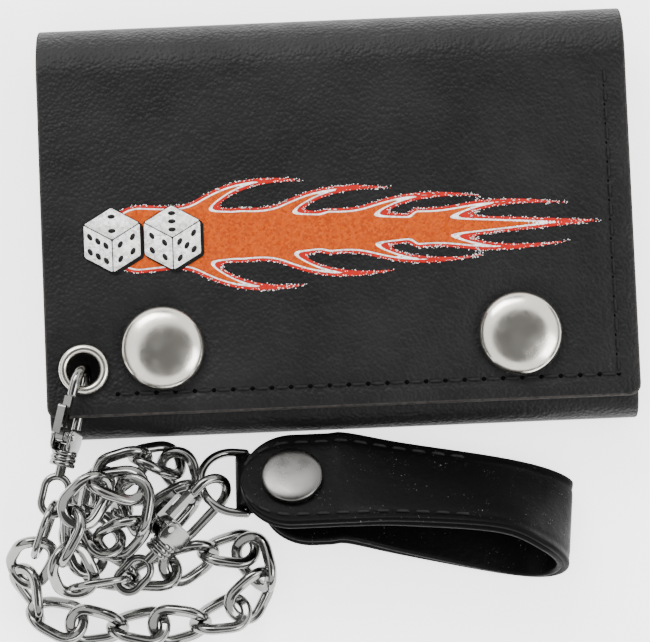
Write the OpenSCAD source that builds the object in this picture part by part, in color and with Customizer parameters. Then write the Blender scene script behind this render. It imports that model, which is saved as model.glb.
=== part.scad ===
// Chain wallet: a trifold leather wallet closed by two snaps, with an eyelet in its
// front flap, a link chain with a trigger clasp at each end, and a snap-on belt loop.
// Closed and lying on its back. Millimetres, +Z up, top fold towards +Y, origin in the
// middle of the back at the surface that the wallet lies on.

/* [Wallet] */
// Width of the wallet, along the folds
wallet_w = 108; // [106:1:112]
// Height of the closed wallet, from the bottom fold to the top fold
wallet_h = 76; // [75:1:78]
// Thickness of the closed wallet at the top fold
wallet_t = 19.5; // [19:0.5:21]
// Thickness of the back and the tucked panel together
tuck_t = 10.4; // [10:0.1:10.6]
// Slope of the front flap, from the thick top fold down to the snaps
flap_slope = 3.5; // [3.3:0.1:3.7]
// How much of the bottom fold shows below the flap
bottom_reveal = 3; // [2.5:0.5:4]
// How far the tucked panel reaches up from the wallet's bottom edge
tuck_reach = 42; // [38:1:43]
// Thickness of the outer leather
leather_t = 1.2; // [1:0.1:1.2]
// Thickness of the lining leather
lining_t = 0.8; // [0.6:0.1:0.8]
// Thickness of one card pocket layer
pocket_t = 0.7; // [0.5:0.1:0.7]

/* [Snaps and eyelet] */
// Distance from the middle of the wallet to each snap
snap_x = 32.5; // [30:0.5:35]
// Height of the snaps above the flap's bottom edge
snap_up = 12; // [11.5:0.5:13]
// Radius of a snap cap
cap_r = 7.6; // [7:0.1:8]
// Height of a snap cap's dome
cap_h = 3.2; // [2.5:0.1:3.5]
// Distance from the middle of the wallet to the eyelet
eyelet_x = 47; // [46:0.5:47.5]
// Height of the eyelet above the flap's bottom edge
eyelet_up = 8.7; // [8.5:0.1:9]
// Radius of the eyelet's hole
eyelet_r = 2.9; // [2.8:0.1:3]
// Radius of the eyelet's rolled rim
eyelet_rim_r = 4.65; // [4.5:0.05:4.8]

/* [Chain] */
// Outer length of a chain link
link_l = 12; // [11.8:0.1:12.2]
// Outer width of a chain link
link_w = 9; // [8.8:0.1:9.2]
// Wire of a chain link
link_wire = 1.8; // [1.5:0.1:1.8]
// Number of links in the chain
link_count = 31; // [31:1:32]

/* [Belt loop] */
// Width of the belt loop's strap
strap_w = 19; // [18.5:0.25:19]
// Thickness of the belt loop's strap
strap_t = 2.4; // [2:0.1:2.4]
// Tilt of the belt loop where its snap closes, far edge down
strap_tilt = 26; // [26:1:27]
// Radius of the belt loop's snap cap
strap_cap_r = 5.6; // [5.4:0.1:5.8]

/* [Hidden] */
$fn = 48;

// ---- Wallet places ----
panel_t = leather_t + lining_t;
top_fold_r = wallet_t / 2;
bottom_fold_r = tuck_t / 2;
top_fold_y = wallet_h / 2 - top_fold_r;
bottom_fold_y = -wallet_h / 2 + bottom_fold_r;
flap_edge_y = -wallet_h / 2 + bottom_reveal;
flap_l = (top_fold_y - flap_edge_y) / cos(flap_slope);
snap_y = flap_edge_y + snap_up;
tuck_edge_y = -wallet_h / 2 + tuck_reach;
// Gap that keeps the flap's parts clear of the fold that carries them
fold_gap = 0.15;
corner_r = 2;
// Pocket panels stop this far inside the wallet's sides
pocket_inset = 4;
pocket_w = wallet_w - 2 * pocket_inset;
pocket_bottom_y = bottom_fold_y + 1.5;
pocket_tops = [20, 12, 4];

// ---- Snap sizes ----
post_r = 2;
post_clear = 0.1;
socket_r = 6.2;
socket_bore_r = 3.6;
socket_h = 2.9;
stud_flange_r = 4.6;
stud_flange_h = 0.5;
stud_neck_r = 2.1;
stud_head_r = 2.6;
stud_h = 2.8;
rivet_r = 1.5;
rivet_clear = 0.05;
rivet_flange_r = 4.2;
rivet_flange_h = 0.5;

// ---- Stitching ----
stitch_pitch = 3.4;
stitch_l = 2.2;
stitch_r = 0.25;
stitch_inset = 4;

// ---- Clasp sizes, in the clasp's own frame: X away from the hook's nose, Z up ----
wire_r = 0.9;
// A rounded elbow is this much fatter than its wire
joint_swell = 0.04;
hook_low = -2.7;
hook_high = 4.2;
hook_mid = (hook_low + hook_high) / 2;
nose_r = (hook_high - hook_low) / 2;
nose_x = 3.3;
lip_x = 5;
gate_gap = 0.35;
gate_pin = [12.6, 3.9];
pin_r = 0.6;
gate_hub_r = 1.2;
gate_bar = 1.3;
gate_side = 0.3;
gate_reach = 1.1;
cheek_in = 1.25;
cheek_out = 1.85;
collar_x0 = 15;
collar_x1 = 18;
collar_r = 2.4;
shank_r = 0.95;
shank_bore_r = 1.02;
eye_x0 = 19.2;
eye_x1 = 27.6;
eye_w = 5.8;
eye_wire_r = 0.7;
// Roll of each clasp about its own length, and of each swivel eye in its clasp
wallet_clasp_roll = 12;
belt_clasp_roll = 40;
belt_eye_roll = -40;

// ---- Belt loop: its two edges, from the tab's end round the bend to the base's end ----
half_w = strap_w / 2;
half_t = strap_t / 2;
snap_base = [-10, -50.6, 5.9];
tilt_y = cos(strap_tilt);
tilt_z = sin(strap_tilt);
// Mid-planes of the tab and the base are this far apart where the snap closes
layer_gap = 6.4;
snap_tab = snap_base + layer_gap * [0, tilt_z, tilt_y];
edge_reach = half_w * [0, tilt_y, -tilt_z];
tab_end_x = -19.4;
base_end_x = -16;
// Each station is the middle of the strap's near edge and of its far edge
function strap_station(snap, x) = [snap + [x, 0, 0] - edge_reach, snap + [x, 0, 0] + edge_reach];
strap_stations = [
    strap_station(snap_tab, tab_end_x - snap_base[0]),
    strap_station(snap_tab, -6),
    strap_station(snap_tab, 6),
    strap_station(snap_tab, 10),
    [[10, -56.6, 17], [10, -41.5, 6.2]],
    [[27, -58.5, 18], [27, -44.8, 5.4]],
    [[35, -62, 15.5], [36, -47, 4.4]],
    [[38.5, -65, 9.5], [40.5, -49, 3]],
    [[36, -66.5, 3.8], [37.5, -49.5, 1.8]],
    [[28, -65.6, 1.6], [28, -47, 1.5]],
    [[10, -61.6, 6.4], [10, -44, 1.7]],
    strap_station(snap_base, 10),
    strap_station(snap_base, 6),
    strap_station(snap_base, -2),
    strap_station(snap_base, base_end_x - snap_base[0])
];
tab_last = 5;
bend_last = 9;
base_last = 14;
steps = 4;
// The keeper holds the D-ring's bar at the base's end
keeper_x = -8.6;
keeper_y = 2;
keeper_w = 11;
keeper_t = 1;
ring_wire_r = 0.8;
ring_r = 6.4;
ring_leg = 2;
ring_lift = 12;
keeper_bore_r = ring_wire_r + 0.1;
keeper_r = keeper_bore_r + keeper_t;
keeper_z = half_t + keeper_r;

// ---- Chain: the line that the links follow, from the wallet's clasp to the belt's clasp ----
chain_route = [
    [-53.9, -51.8, 14.3], [-56, -57, 11], [-60, -62, 6], [-58.5, -68.5, 3.8], [-50, -72, 3.7],
    [-40, -72.5, 3.7], [-29, -72.5, 3.7], [-18.5, -69, 3.7], [-16, -60, 3.7], [-26, -59.5, 3.7],
    [-35, -63, 3.7], [-44, -63, 3.7], [-51, -57, 3.7], [-49, -48, 3.7], [-40, -51.5, 3.7],
    [-31, -52, 3.7], [-29, -45, 3.7], [-33.5, -42, 7], [-39, -43, 11], [-45, -46.5, 10.8],
    [-47.5, -53.5, 10.8], [-43, -58.5, 12.5], [-37.5, -53, 16.5], [-40, -46, 18.5], [-46, -48.5, 19],
    [-51, -57, 17.5], [-50, -65, 12], [-42, -64.4, 10]
];
// The links next to each clasp turn from upright in the clasp's eye to the chain's usual lean
lead_links = 4;
link_lean = 45;

// ---- Curves ----
// A smooth curve through points, as a function of the span i and of t from 0 to 1
function span(p, i, t) =
    let (n = len(p) - 1,
         a = i > 0 ? p[i - 1] : 2 * p[0] - p[1],
         b = p[i],
         c = p[i + 1],
         d = i < n - 1 ? p[i + 2] : 2 * p[n] - p[n - 1])
    0.5 * (2 * b + (c - a) * t + (2 * a - 5 * b + 4 * c - d) * t * t + (3 * b - a - 3 * c + d) * t * t * t);
function curve(p, n) = concat([for (i = [0:len(p) - 2], k = [0:n - 1]) span(p, i, k / n)], [p[len(p) - 1]]);
function unit(v) = v / norm(v);
// Distance along a curve's points
function distances(p, i = 1, total = [0]) =
    i == len(p) ? total : distances(p, i + 1, concat(total, [total[i - 1] + norm(p[i] - p[i - 1])]));
function column(p, s, k) = [for (i = [0:len(p) - 1]) [s[i], p[i][k]]];

// ---- Shared shapes ----
// Draws a profile in the wallet's YZ plane and gives it the width w
module across(w) translate([-w / 2, 0, 0]) rotate([90, 0, 90]) linear_extrude(w) children();
// A flat panel between y0 and y1, from z up, with square corners
module panel(w, y0, y1, z, t) translate([-w / 2, y0, z]) cube([w, y1 - y0, t]);
// A flat panel with its corners at y0 rounded
module rounded_panel(w, y0, y1, z, t) translate([0, 0, z]) linear_extrude(t) {
    translate([-w / 2, y0 + corner_r]) square([w, y1 - y0 - corner_r]);
    translate([-w / 2 + corner_r, y0]) square([w - 2 * corner_r, 2 * corner_r]);
    for (side = [-1, 1]) translate([side * (w / 2 - corner_r), y0 + corner_r]) circle(corner_r);
}
module disc(r, z, h) translate([0, 0, z]) cylinder(r = r, h = h);
// Half of a round fold, of outer radius r, open towards -Y when side is 1
module half_fold(r, side) across(wallet_w) translate([side > 0 ? top_fold_y : bottom_fold_y, r]) intersection() {
    difference() {
        circle(r, $fn = 96);
        circle(r - panel_t, $fn = 96);
    }
    translate([side > 0 ? 0 : -r, -r]) square([r, 2 * r]);
}
// The flap's own frame: its outer face is z = 0 and it runs towards -Y from the top fold
module on_flap() translate([0, top_fold_y, wallet_t]) rotate([flap_slope, 0, 0]) children();
function flap_local_y(y) = -(top_fold_y - y) / cos(flap_slope);
module at_snap(side) on_flap() translate([side * snap_x, flap_local_y(snap_y), 0]) children();
module at_eyelet() on_flap() translate([-eyelet_x, flap_local_y(flap_edge_y + eyelet_up), 0]) children();
module at_stud(side) translate([side * snap_x, snap_y, tuck_t]) children();
// A straight round bar between two points
module bar(a, b, r) {
    d = b - a;
    translate(a) rotate([0, acos(d[2] / norm(d)), atan2(d[1], d[0])]) cylinder(r = r, h = norm(d));
}
module ball(p, r) translate(p) sphere(r = r);

// ---- Wallet back ----
module back_leather() color([0.13, 0.13, 0.14]) panel(wallet_w, bottom_fold_y, top_fold_y, 0, leather_t);
module back_lining() color([0.2, 0.2, 0.21]) panel(wallet_w, bottom_fold_y, top_fold_y, leather_t, lining_t);
module card_pocket(layer)
    panel(pocket_w, pocket_bottom_y, pocket_tops[layer], panel_t + layer * pocket_t, pocket_t);
module card_pocket_rear() color([0.16, 0.16, 0.17]) card_pocket(0);
module card_pocket_middle() color([0.18, 0.18, 0.19]) card_pocket(1);
module card_pocket_front() color([0.2, 0.2, 0.2]) card_pocket(2);

// ---- Folds ----
module top_fold() color([0.13, 0.13, 0.14]) half_fold(top_fold_r, 1);
module bottom_fold() color([0.13, 0.13, 0.14]) half_fold(bottom_fold_r, -1);

// ---- Front flap ----
module flap_holes(r_snap, r_eyelet) {
    for (side = [-1, 1]) at_snap(side) disc(r_snap, -panel_t - 1, panel_t + 2);
    at_eyelet() disc(r_eyelet, -panel_t - 1, panel_t + 2);
}
module flap_leather() color([0.12, 0.12, 0.13]) difference() {
    on_flap() rounded_panel(wallet_w, -flap_l, -fold_gap, -leather_t, leather_t);
    flap_holes(post_r + post_clear, eyelet_r + 0.5);
}
module flap_lining() color([0.2, 0.2, 0.21]) difference() {
    on_flap() rounded_panel(wallet_w, -flap_l, -fold_gap, -panel_t, lining_t);
    flap_holes(post_r + post_clear, eyelet_r + 0.5);
}
window_w = 72;
window_l = 26;
window_y = -24;
frame_t = 1.1;
vinyl_t = 0.3;
vinyl_lap = 3;
module id_window_frame() color([0.17, 0.17, 0.18]) on_flap() difference() {
    panel(pocket_w, window_y - window_l / 2 - 5, window_y + window_l / 2 + 5, -panel_t - frame_t, frame_t);
    panel(window_w, window_y - window_l / 2, window_y + window_l / 2, -panel_t - frame_t - 1, frame_t + 2);
    panel(window_w + 2 * vinyl_lap, window_y - window_l / 2 - vinyl_lap, window_y + window_l / 2 + vinyl_lap,
        -panel_t - vinyl_t, vinyl_t + 1);
}
module id_window() color([0.8, 0.85, 0.9, 0.4]) on_flap()
    panel(window_w + 2 * vinyl_lap, window_y - window_l / 2 - vinyl_lap, window_y + window_l / 2 + vinyl_lap,
        -panel_t - vinyl_t, vinyl_t);
module stitch(along_y) rotate([0, 0, along_y ? 90 : 0]) translate([-stitch_l / 2, 0, 0]) rotate([0, 90, 0])
    cylinder(r = stitch_r, h = stitch_l, $fn = 12);
side_stitches = floor((flap_l - stitch_inset - 4) / stitch_pitch);
bottom_stitches = floor((wallet_w - 2 * stitch_inset - 11) / stitch_pitch);
module flap_stitching() color([0.05, 0.05, 0.05]) on_flap() {
    for (i = [0:side_stitches])
        translate([wallet_w / 2 - stitch_inset, -flap_l + stitch_inset + 2 + i * stitch_pitch, stitch_r]) stitch(true);
    for (i = [0:bottom_stitches])
        translate([wallet_w / 2 - stitch_inset - 2 - i * stitch_pitch, -flap_l + stitch_inset, stitch_r]) stitch(false);
}

// ---- Snaps ----
dome_r = (pow(cap_r - 0.8, 2) + pow(cap_h - 0.6, 2)) / (2 * (cap_h - 0.6));
module snap_cap(side) color([0.8, 0.78, 0.74]) at_snap(side) {
    rotate_extrude() {
        intersection() {
            translate([0, cap_h - dome_r]) circle(dome_r, $fn = 96);
            square([cap_r - 0.8, cap_h]);
        }
        intersection() {
            translate([cap_r - 0.8, 0.8]) circle(0.8);
            square([cap_r, 2 * cap_r]);
        }
    }
    disc(post_r, -socket_h, socket_h + 0.2);
}
module snap_cap_left() snap_cap(-1);
module snap_cap_right() snap_cap(1);
module snap_socket(side) color([0.6, 0.6, 0.6]) at_snap(side) translate([0, 0, -panel_t]) rotate_extrude() {
    translate([post_r + post_clear, -0.6]) square([socket_r - 0.6 - post_r - post_clear, 0.6]);
    translate([socket_bore_r, -socket_h + 0.6]) square([socket_r - 0.6 - socket_bore_r, socket_h - 0.6]);
    translate([socket_bore_r + 0.6, -socket_h + 0.6]) intersection() {
        translate([0, -0.6]) square([2, 0.6]);
        square([2 * (socket_r - socket_bore_r - 1.2), 1.2], center = true);
    }
}
module snap_socket_left() snap_socket(-1);
module snap_socket_right() snap_socket(1);
module stud_profile() {
    square([stud_flange_r, stud_flange_h]);
    square([stud_neck_r, stud_h - 0.6]);
    intersection() {
        translate([stud_head_r - 0.6, stud_h - 0.6]) circle(0.6, $fn = 32);
        square([stud_head_r, stud_h]);
    }
    translate([0, stud_h - 1.2]) square([stud_head_r - 0.6, 1.2]);
}
module snap_stud(side) color([0.6, 0.6, 0.6]) at_stud(side) difference() {
    rotate_extrude() stud_profile();
    disc(rivet_r + rivet_clear, -1, stud_h + 0.5);
}
module snap_stud_left() snap_stud(-1);
module snap_stud_right() snap_stud(1);
module snap_post(side) color([0.6, 0.6, 0.6]) at_stud(side) {
    disc(rivet_r, -panel_t - rivet_flange_h, panel_t + rivet_flange_h + stud_h - 0.6);
    disc(rivet_flange_r, -panel_t - rivet_flange_h, rivet_flange_h);
}
module snap_post_left() snap_post(-1);
module snap_post_right() snap_post(1);

// ---- Eyelet ----
rim_tube_r = (eyelet_rim_r - eyelet_r) / 2;
barrel_t = 0.4;
module eyelet() color([0.82, 0.82, 0.82]) at_eyelet() rotate_extrude() {
    intersection() {
        translate([eyelet_r + rim_tube_r, 0]) circle(rim_tube_r);
        square([eyelet_rim_r, rim_tube_r]);
    }
    translate([eyelet_r, -panel_t - 0.5]) square([barrel_t, panel_t + 0.6]);
}
module eyelet_washer() color([0.7, 0.7, 0.7]) at_eyelet() rotate_extrude()
    translate([eyelet_r + barrel_t, -panel_t - 0.5]) square([1.3, 0.5]);

// ---- Tucked panel ----
module stud_holes(r) for (side = [-1, 1]) at_stud(side) disc(r, -6, 12);
module tuck_leather() color([0.12, 0.12, 0.13]) difference() {
    panel(wallet_w, bottom_fold_y + fold_gap, tuck_edge_y, tuck_t - leather_t, leather_t);
    stud_holes(rivet_r + rivet_clear);
}
module tuck_lining() color([0.2, 0.2, 0.21]) difference() {
    panel(wallet_w, bottom_fold_y + fold_gap, tuck_edge_y, tuck_t - panel_t, lining_t);
    stud_holes(rivet_r + rivet_clear);
}
module tuck_pocket() color([0.17, 0.17, 0.18]) difference() {
    panel(pocket_w, pocket_bottom_y, tuck_edge_y - 4, tuck_t - panel_t - pocket_t, pocket_t);
    stud_holes(rivet_flange_r + 0.1);
}

// ---- Clasps ----
module on_wallet_clasp() at_eyelet() translate([0, 0, -panel_t / 2]) rotate([0, 0, wallet_clasp_turn])
    translate([0, 0, hook_mid]) rotate([wallet_clasp_roll, 0, 0]) translate([0, 0, -hook_mid]) children();
wallet_clasp_turn = -105;
belt_clasp_nose = [-22.4, -47.6, 10.4];
belt_clasp_turn = -136;
belt_clasp_fall = 3;
module on_belt_clasp() translate(belt_clasp_nose) rotate([0, belt_clasp_fall, belt_clasp_turn])
    rotate([belt_clasp_roll, 0, 0]) children();

module clasp_hook() color([0.75, 0.75, 0.76]) {
    // Nose
    translate([nose_x, 0, hook_mid]) rotate([90, 0, 0]) rotate([0, 0, 90])
        rotate_extrude(angle = 180) translate([nose_r, 0]) circle(wire_r);
    // Lip over the leather and spine under it
    bar([nose_x, 0, hook_high], [lip_x, 0, hook_high], wire_r);
    bar([nose_x, 0, hook_low], [11.2, 0, hook_low], wire_r);
    ball([11.2, 0, hook_low], wire_r + joint_swell);
    bar([11.2, 0, hook_low], [collar_x0 + 0.5, 0, hook_mid - 2.1], wire_r);
    // Two cheeks that hold the gate's pin, joined by a web under the gate
    for (side = [-1, 1]) translate([11, side > 0 ? cheek_in : -cheek_out, hook_low + 0.6])
        difference() {
            cube([collar_x0 + 0.4 - 11, cheek_out - cheek_in, hook_high + 1 - hook_low - 0.6]);
            translate([gate_pin[0] - 11, -1, gate_pin[1] - hook_low - 0.6]) rotate([-90, 0, 0])
                cylinder(r = pin_r + 0.02, h = 3, $fn = 24);
        }
    translate([12.2, -cheek_in - 0.1, hook_low + 0.6]) cube([1.6, 2 * cheek_in + 0.2, 0.8]);
    // Collar with the swivel's bore
    translate([0, 0, hook_mid]) rotate([0, 90, 0]) difference() {
        translate([0, 0, collar_x0]) cylinder(r = collar_r, h = collar_x1 - collar_x0);
        translate([0, 0, collar_x0 - 1]) cylinder(r = shank_bore_r, h = collar_x1 - collar_x0 + 2);
    }
}
module clasp_gate() color([0.7, 0.7, 0.71]) translate([gate_pin[0], 0, gate_pin[1]])
    rotate([90, 0, 0]) translate([0, 0, -gate_side]) linear_extrude(gate_side + gate_reach) difference() {
        union() {
            // Hub, bar that closes the hook, and thumb prong
            circle(gate_hub_r);
            translate([lip_x + gate_gap - gate_pin[0], -gate_bar / 2 + 0.3])
                square([gate_pin[0] - lip_x - gate_gap, gate_bar]);
            translate([-5, 2.5]) square([4, 1]);
            translate([-5, 3]) circle(0.5);
            translate([-1.5, 0.4]) square([1.2, 3.1]);
        }
        circle(pin_r + 0.05);
    }
module clasp_pin() color([0.55, 0.55, 0.56])
    translate([gate_pin[0], -cheek_out - 0.3, gate_pin[1]]) rotate([-90, 0, 0])
        cylinder(r = pin_r, h = 2 * cheek_out + 0.6, $fn = 24);
spring_turns = 3;
module clasp_spring() color([0.5, 0.5, 0.5])
    for (i = [0:spring_turns - 1]) translate([gate_pin[0], 0.5 + 0.27 * i, gate_pin[1]]) rotate([90, 0, 0])
        rotate_extrude() translate([pin_r + 0.25, 0]) circle(0.12, $fn = 16);
module clasp_swivel(roll) color([0.75, 0.75, 0.76]) translate([0, 0, hook_mid]) rotate([roll, 0, 0]) {
    // Head between the cheeks, shank through the collar, and the eye
    rotate([0, 90, 0]) {
        translate([0, 0, collar_x0 - 1.1]) cylinder(r = 1.15, h = 1, $fn = 32);
        translate([0, 0, collar_x0 - 0.5]) cylinder(r = shank_r, h = eye_x0 + eye_wire_r - collar_x0 + 0.5, $fn = 32);
    }
    eye_turn_r = eye_w / 2 - eye_wire_r;
    near = eye_x0 + eye_wire_r + eye_turn_r;
    far = eye_x1 - eye_wire_r - eye_turn_r;
    for (side = [-1, 1]) {
        bar([near, side * eye_turn_r, 0], [far, side * eye_turn_r, 0], eye_wire_r);
        translate([side > 0 ? far : near, 0, 0]) rotate([0, 0, side > 0 ? -90 : 90])
            rotate_extrude(angle = 180) translate([eye_turn_r, 0]) circle(eye_wire_r, $fn = 24);
    }
}
module wallet_clasp_hook() on_wallet_clasp() clasp_hook();
module wallet_clasp_gate() on_wallet_clasp() clasp_gate();
module wallet_clasp_pin() on_wallet_clasp() clasp_pin();
module wallet_clasp_spring() on_wallet_clasp() clasp_spring();
module wallet_clasp_swivel() on_wallet_clasp() clasp_swivel(-wallet_clasp_roll);
module belt_clasp_hook() on_belt_clasp() clasp_hook();
module belt_clasp_gate() on_belt_clasp() clasp_gate();
module belt_clasp_pin() on_belt_clasp() clasp_pin();
module belt_clasp_spring() on_belt_clasp() clasp_spring();
module belt_clasp_swivel() on_belt_clasp() clasp_swivel(belt_eye_roll);

// ---- Chain ----
chain_points = curve(chain_route, 12);
chain_steps = distances(chain_points);
chain_l = chain_steps[len(chain_steps) - 1];
chain_x = column(chain_points, chain_steps, 0);
chain_y = column(chain_points, chain_steps, 1);
chain_z = column(chain_points, chain_steps, 2);
function chain_at(s) = [lookup(s, chain_x), lookup(s, chain_y), lookup(s, chain_z)];
link_turn_r = (link_w - link_wire) / 2;
link_side = (link_l - link_w) / 2;
module chain_link() {
    for (side = [-1, 1]) {
        translate([side * link_side, 0, 0]) rotate([0, 0, -90 * side])
            rotate_extrude(angle = 180) translate([link_turn_r, 0]) circle(link_wire / 2, $fn = 24);
        bar([-link_side, side * link_turn_r, 0], [link_side, side * link_turn_r, 0], link_wire / 2);
    }
}
function link_roll(i) = (i % 2 == 0 ? link_lean : -link_lean)
    + link_lean * max(0, 1 - i / lead_links, 1 - (link_count - 1 - i) / lead_links);
module chain_links() color([0.72, 0.72, 0.73])
    for (i = [0:link_count - 1]) {
        a = chain_at(chain_l * i / link_count);
        b = chain_at(chain_l * (i + 1) / link_count);
        d = unit(b - a);
        translate((a + b) / 2) rotate([0, -asin(d[2]), atan2(d[1], d[0])]) rotate([link_roll(i), 0, 0]) chain_link();
    }

// ---- Belt loop ----
near_edge = curve([for (s = strap_stations) s[0]], steps);
far_edge = curve([for (s = strap_stations) s[1]], steps);
middle = (near_edge + far_edge) / 2;
last_ring = len(middle) - 1;
function along_strap(i) = unit(middle[min(i + 1, last_ring)] - middle[max(i - 1, 0)]);
function face_of(i) = unit(cross(far_edge[i] - near_edge[i], along_strap(i)));
// Share of the strap's half width, less than 1 where an end is rounded off
function round_end(x, end_x) = x > end_x + half_w ? 1 : sqrt(max(0.12, 1 - pow((end_x + half_w - x) / half_w, 2)));
function strap_ring(i, end_x) =
    let (k = round_end(middle[i][0], end_x),
         a = middle[i] + k * (near_edge[i] - middle[i]),
         b = middle[i] + k * (far_edge[i] - middle[i]),
         n = half_t * face_of(i))
    [a - n, b - n, b + n, a + n];
module strap_part(first, last, end_x) {
    rings = [for (i = [first:last]) strap_ring(i, end_x)];
    points = [for (ring = rings) each ring];
    count = len(rings);
    sides = [for (i = [0:count - 2], k = [0:3]) each [
        [4 * i + k, 4 * i + (k + 1) % 4, 4 * (i + 1) + (k + 1) % 4],
        [4 * i + k, 4 * (i + 1) + (k + 1) % 4, 4 * (i + 1) + k]
    ]];
    caps = [[3, 2, 1], [3, 1, 0], [4 * count - 4, 4 * count - 3, 4 * count - 2], [4 * count - 4, 4 * count - 2, 4 * count - 1]];
    polyhedron(points, concat(sides, caps));
}
module on_strap_base() translate(snap_base) rotate([-strap_tilt, 0, 0]) children();
module on_strap_tab() translate(snap_tab) rotate([-strap_tilt, 0, 0]) children();
module strap_tab() color([0.06, 0.06, 0.06]) difference() {
    strap_part(0, tab_last * steps, tab_end_x);
    on_strap_tab() disc(1.6, -3, 6);
}
module strap_bend() color([0.06, 0.06, 0.06]) strap_part(tab_last * steps, bend_last * steps, tab_end_x);
module strap_base() color([0.06, 0.06, 0.06]) difference() {
    strap_part(bend_last * steps, base_last * steps, base_end_x);
    on_strap_base() disc(1.3, -3, 6);
}
module d_ring_keeper() color([0.08, 0.08, 0.08]) on_strap_base() difference() {
    translate([0, keeper_y + keeper_w / 2, 0]) rotate([90, 0, 0]) linear_extrude(keeper_w) difference() {
        union() {
            translate([keeper_x, keeper_z]) circle(keeper_r, $fn = 32);
            translate([keeper_x, half_t]) square([-keeper_x + 5, 2 * keeper_t]);
        }
        translate([keeper_x, keeper_z]) circle(keeper_bore_r, $fn = 32);
    }
    disc(1.3, -3, 12);
}
module d_ring() color([0.75, 0.75, 0.76]) on_strap_base() translate([keeper_x, keeper_y, keeper_z])
    rotate([0, ring_lift, 0]) {
        bar([0, -ring_r, 0], [0, ring_r, 0], ring_wire_r);
        for (side = [-1, 1]) {
            ball([0, side * ring_r, 0], ring_wire_r);
            bar([0, side * ring_r, 0], [-ring_leg, side * ring_r, 0], ring_wire_r);
        }
        translate([-ring_leg, 0, 0]) rotate([0, 0, 90]) rotate_extrude(angle = 180)
            translate([ring_r, 0]) circle(ring_wire_r, $fn = 24);
    }

// ---- Belt loop's snap ----
strap_post_r = 1.2;
tab_under = layer_gap - half_t;
keeper_top = half_t + 2 * keeper_t;
strap_cap_h = 2;
module strap_snap_cap() color([0.8, 0.79, 0.76]) on_strap_tab() {
    translate([0, 0, half_t]) rotate_extrude() {
        intersection() {
            translate([strap_cap_r - 0.9, 0]) circle(0.9);
            square([strap_cap_r, 0.9]);
        }
        square([strap_cap_r - 0.9, 0.9]);
        square([strap_cap_r - 1.6, strap_cap_h - 0.6]);
        intersection() {
            translate([strap_cap_r - 2.2, strap_cap_h - 1.2]) circle(1.2, $fn = 32);
            square([strap_cap_r, strap_cap_h]);
        }
        square([strap_cap_r - 2.2, strap_cap_h]);
    }
    disc(1.5, -half_t - 0.4, strap_t + 0.6);
}
module strap_snap_socket() color([0.6, 0.6, 0.6]) on_strap_tab() translate([0, 0, -half_t]) rotate_extrude() {
    translate([1.55, -0.4]) square([3.4, 0.4]);
    translate([2.95, -1.4]) square([2, 1.2]);
}
module strap_snap_stud() color([0.6, 0.6, 0.6]) on_strap_base() translate([0, 0, keeper_top]) difference() {
    rotate_extrude() {
        square([3.6, 0.35]);
        square([1.7, 1.3]);
        intersection() {
            translate([1.7, 0.95]) circle(0.35, $fn = 24);
            square([2.1, 1.3]);
        }
    }
    disc(1.05, -1, 1.9);
}
module strap_snap_post() color([0.6, 0.6, 0.6]) on_strap_base() {
    disc(1, -half_t - 0.4, half_t + 0.4 + keeper_top + 0.8);
    disc(3.4, -half_t - 0.4, 0.4);
}
module strap_stitching() color([0.05, 0.05, 0.05])
    for (side = [-1, 1], i = [1:tab_last * steps - 1]) {
        n = face_of(i);
        reach = 0.8 * round_end(middle[i][0], tab_end_x);
        p = middle[i] + side * reach * (far_edge[i] - middle[i]) - (half_t + 0.22) * n;
        d = along_strap(i);
        translate(p) rotate([0, -asin(d[2]), atan2(d[1], d[0])]) translate([-1, 0, 0]) rotate([0, 90, 0])
            cylinder(r = 0.2, h = 2, $fn = 12);
    }

back_leather();
back_lining();
card_pocket_rear();
card_pocket_middle();
card_pocket_front();
top_fold();
bottom_fold();
flap_leather();
flap_lining();
id_window_frame();
id_window();
flap_stitching();
snap_cap_left();
snap_cap_right();
snap_socket_left();
snap_socket_right();
eyelet();
eyelet_washer();
tuck_leather();
tuck_lining();
tuck_pocket();
snap_stud_left();
snap_stud_right();
snap_post_left();
snap_post_right();
wallet_clasp_hook();
wallet_clasp_gate();
wallet_clasp_pin();
wallet_clasp_spring();
wallet_clasp_swivel();
chain_links();
belt_clasp_hook();
belt_clasp_gate();
belt_clasp_pin();
belt_clasp_spring();
belt_clasp_swivel();
d_ring();
d_ring_keeper();
strap_base();
strap_bend();
strap_tab();
strap_stitching();
strap_snap_cap();
strap_snap_socket();
strap_snap_stud();
strap_snap_post();
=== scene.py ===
"""Chain wallet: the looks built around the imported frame.

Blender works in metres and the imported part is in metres, but the sizes below are in
millimetres, as a leather worker would write them. piece() turns them into metres.
"""
import math
import random

import bmesh
import bpy
import numpy as np
from mathutils import Matrix, Vector


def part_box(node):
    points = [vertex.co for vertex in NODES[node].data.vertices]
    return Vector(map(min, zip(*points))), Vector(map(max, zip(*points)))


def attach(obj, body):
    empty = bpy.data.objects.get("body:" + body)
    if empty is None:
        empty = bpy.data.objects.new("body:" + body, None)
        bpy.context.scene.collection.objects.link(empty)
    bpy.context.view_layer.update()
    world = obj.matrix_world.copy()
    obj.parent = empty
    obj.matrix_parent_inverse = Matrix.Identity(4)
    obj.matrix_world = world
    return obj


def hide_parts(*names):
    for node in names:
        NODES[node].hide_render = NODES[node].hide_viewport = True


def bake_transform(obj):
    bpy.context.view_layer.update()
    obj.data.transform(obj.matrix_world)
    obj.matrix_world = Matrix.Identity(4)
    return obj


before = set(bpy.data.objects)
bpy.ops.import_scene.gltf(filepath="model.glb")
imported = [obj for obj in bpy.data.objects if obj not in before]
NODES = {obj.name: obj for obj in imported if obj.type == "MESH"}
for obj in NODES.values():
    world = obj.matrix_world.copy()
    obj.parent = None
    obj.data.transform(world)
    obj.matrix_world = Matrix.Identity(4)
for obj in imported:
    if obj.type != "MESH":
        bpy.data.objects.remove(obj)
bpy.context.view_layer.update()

MM = 0.001

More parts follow.
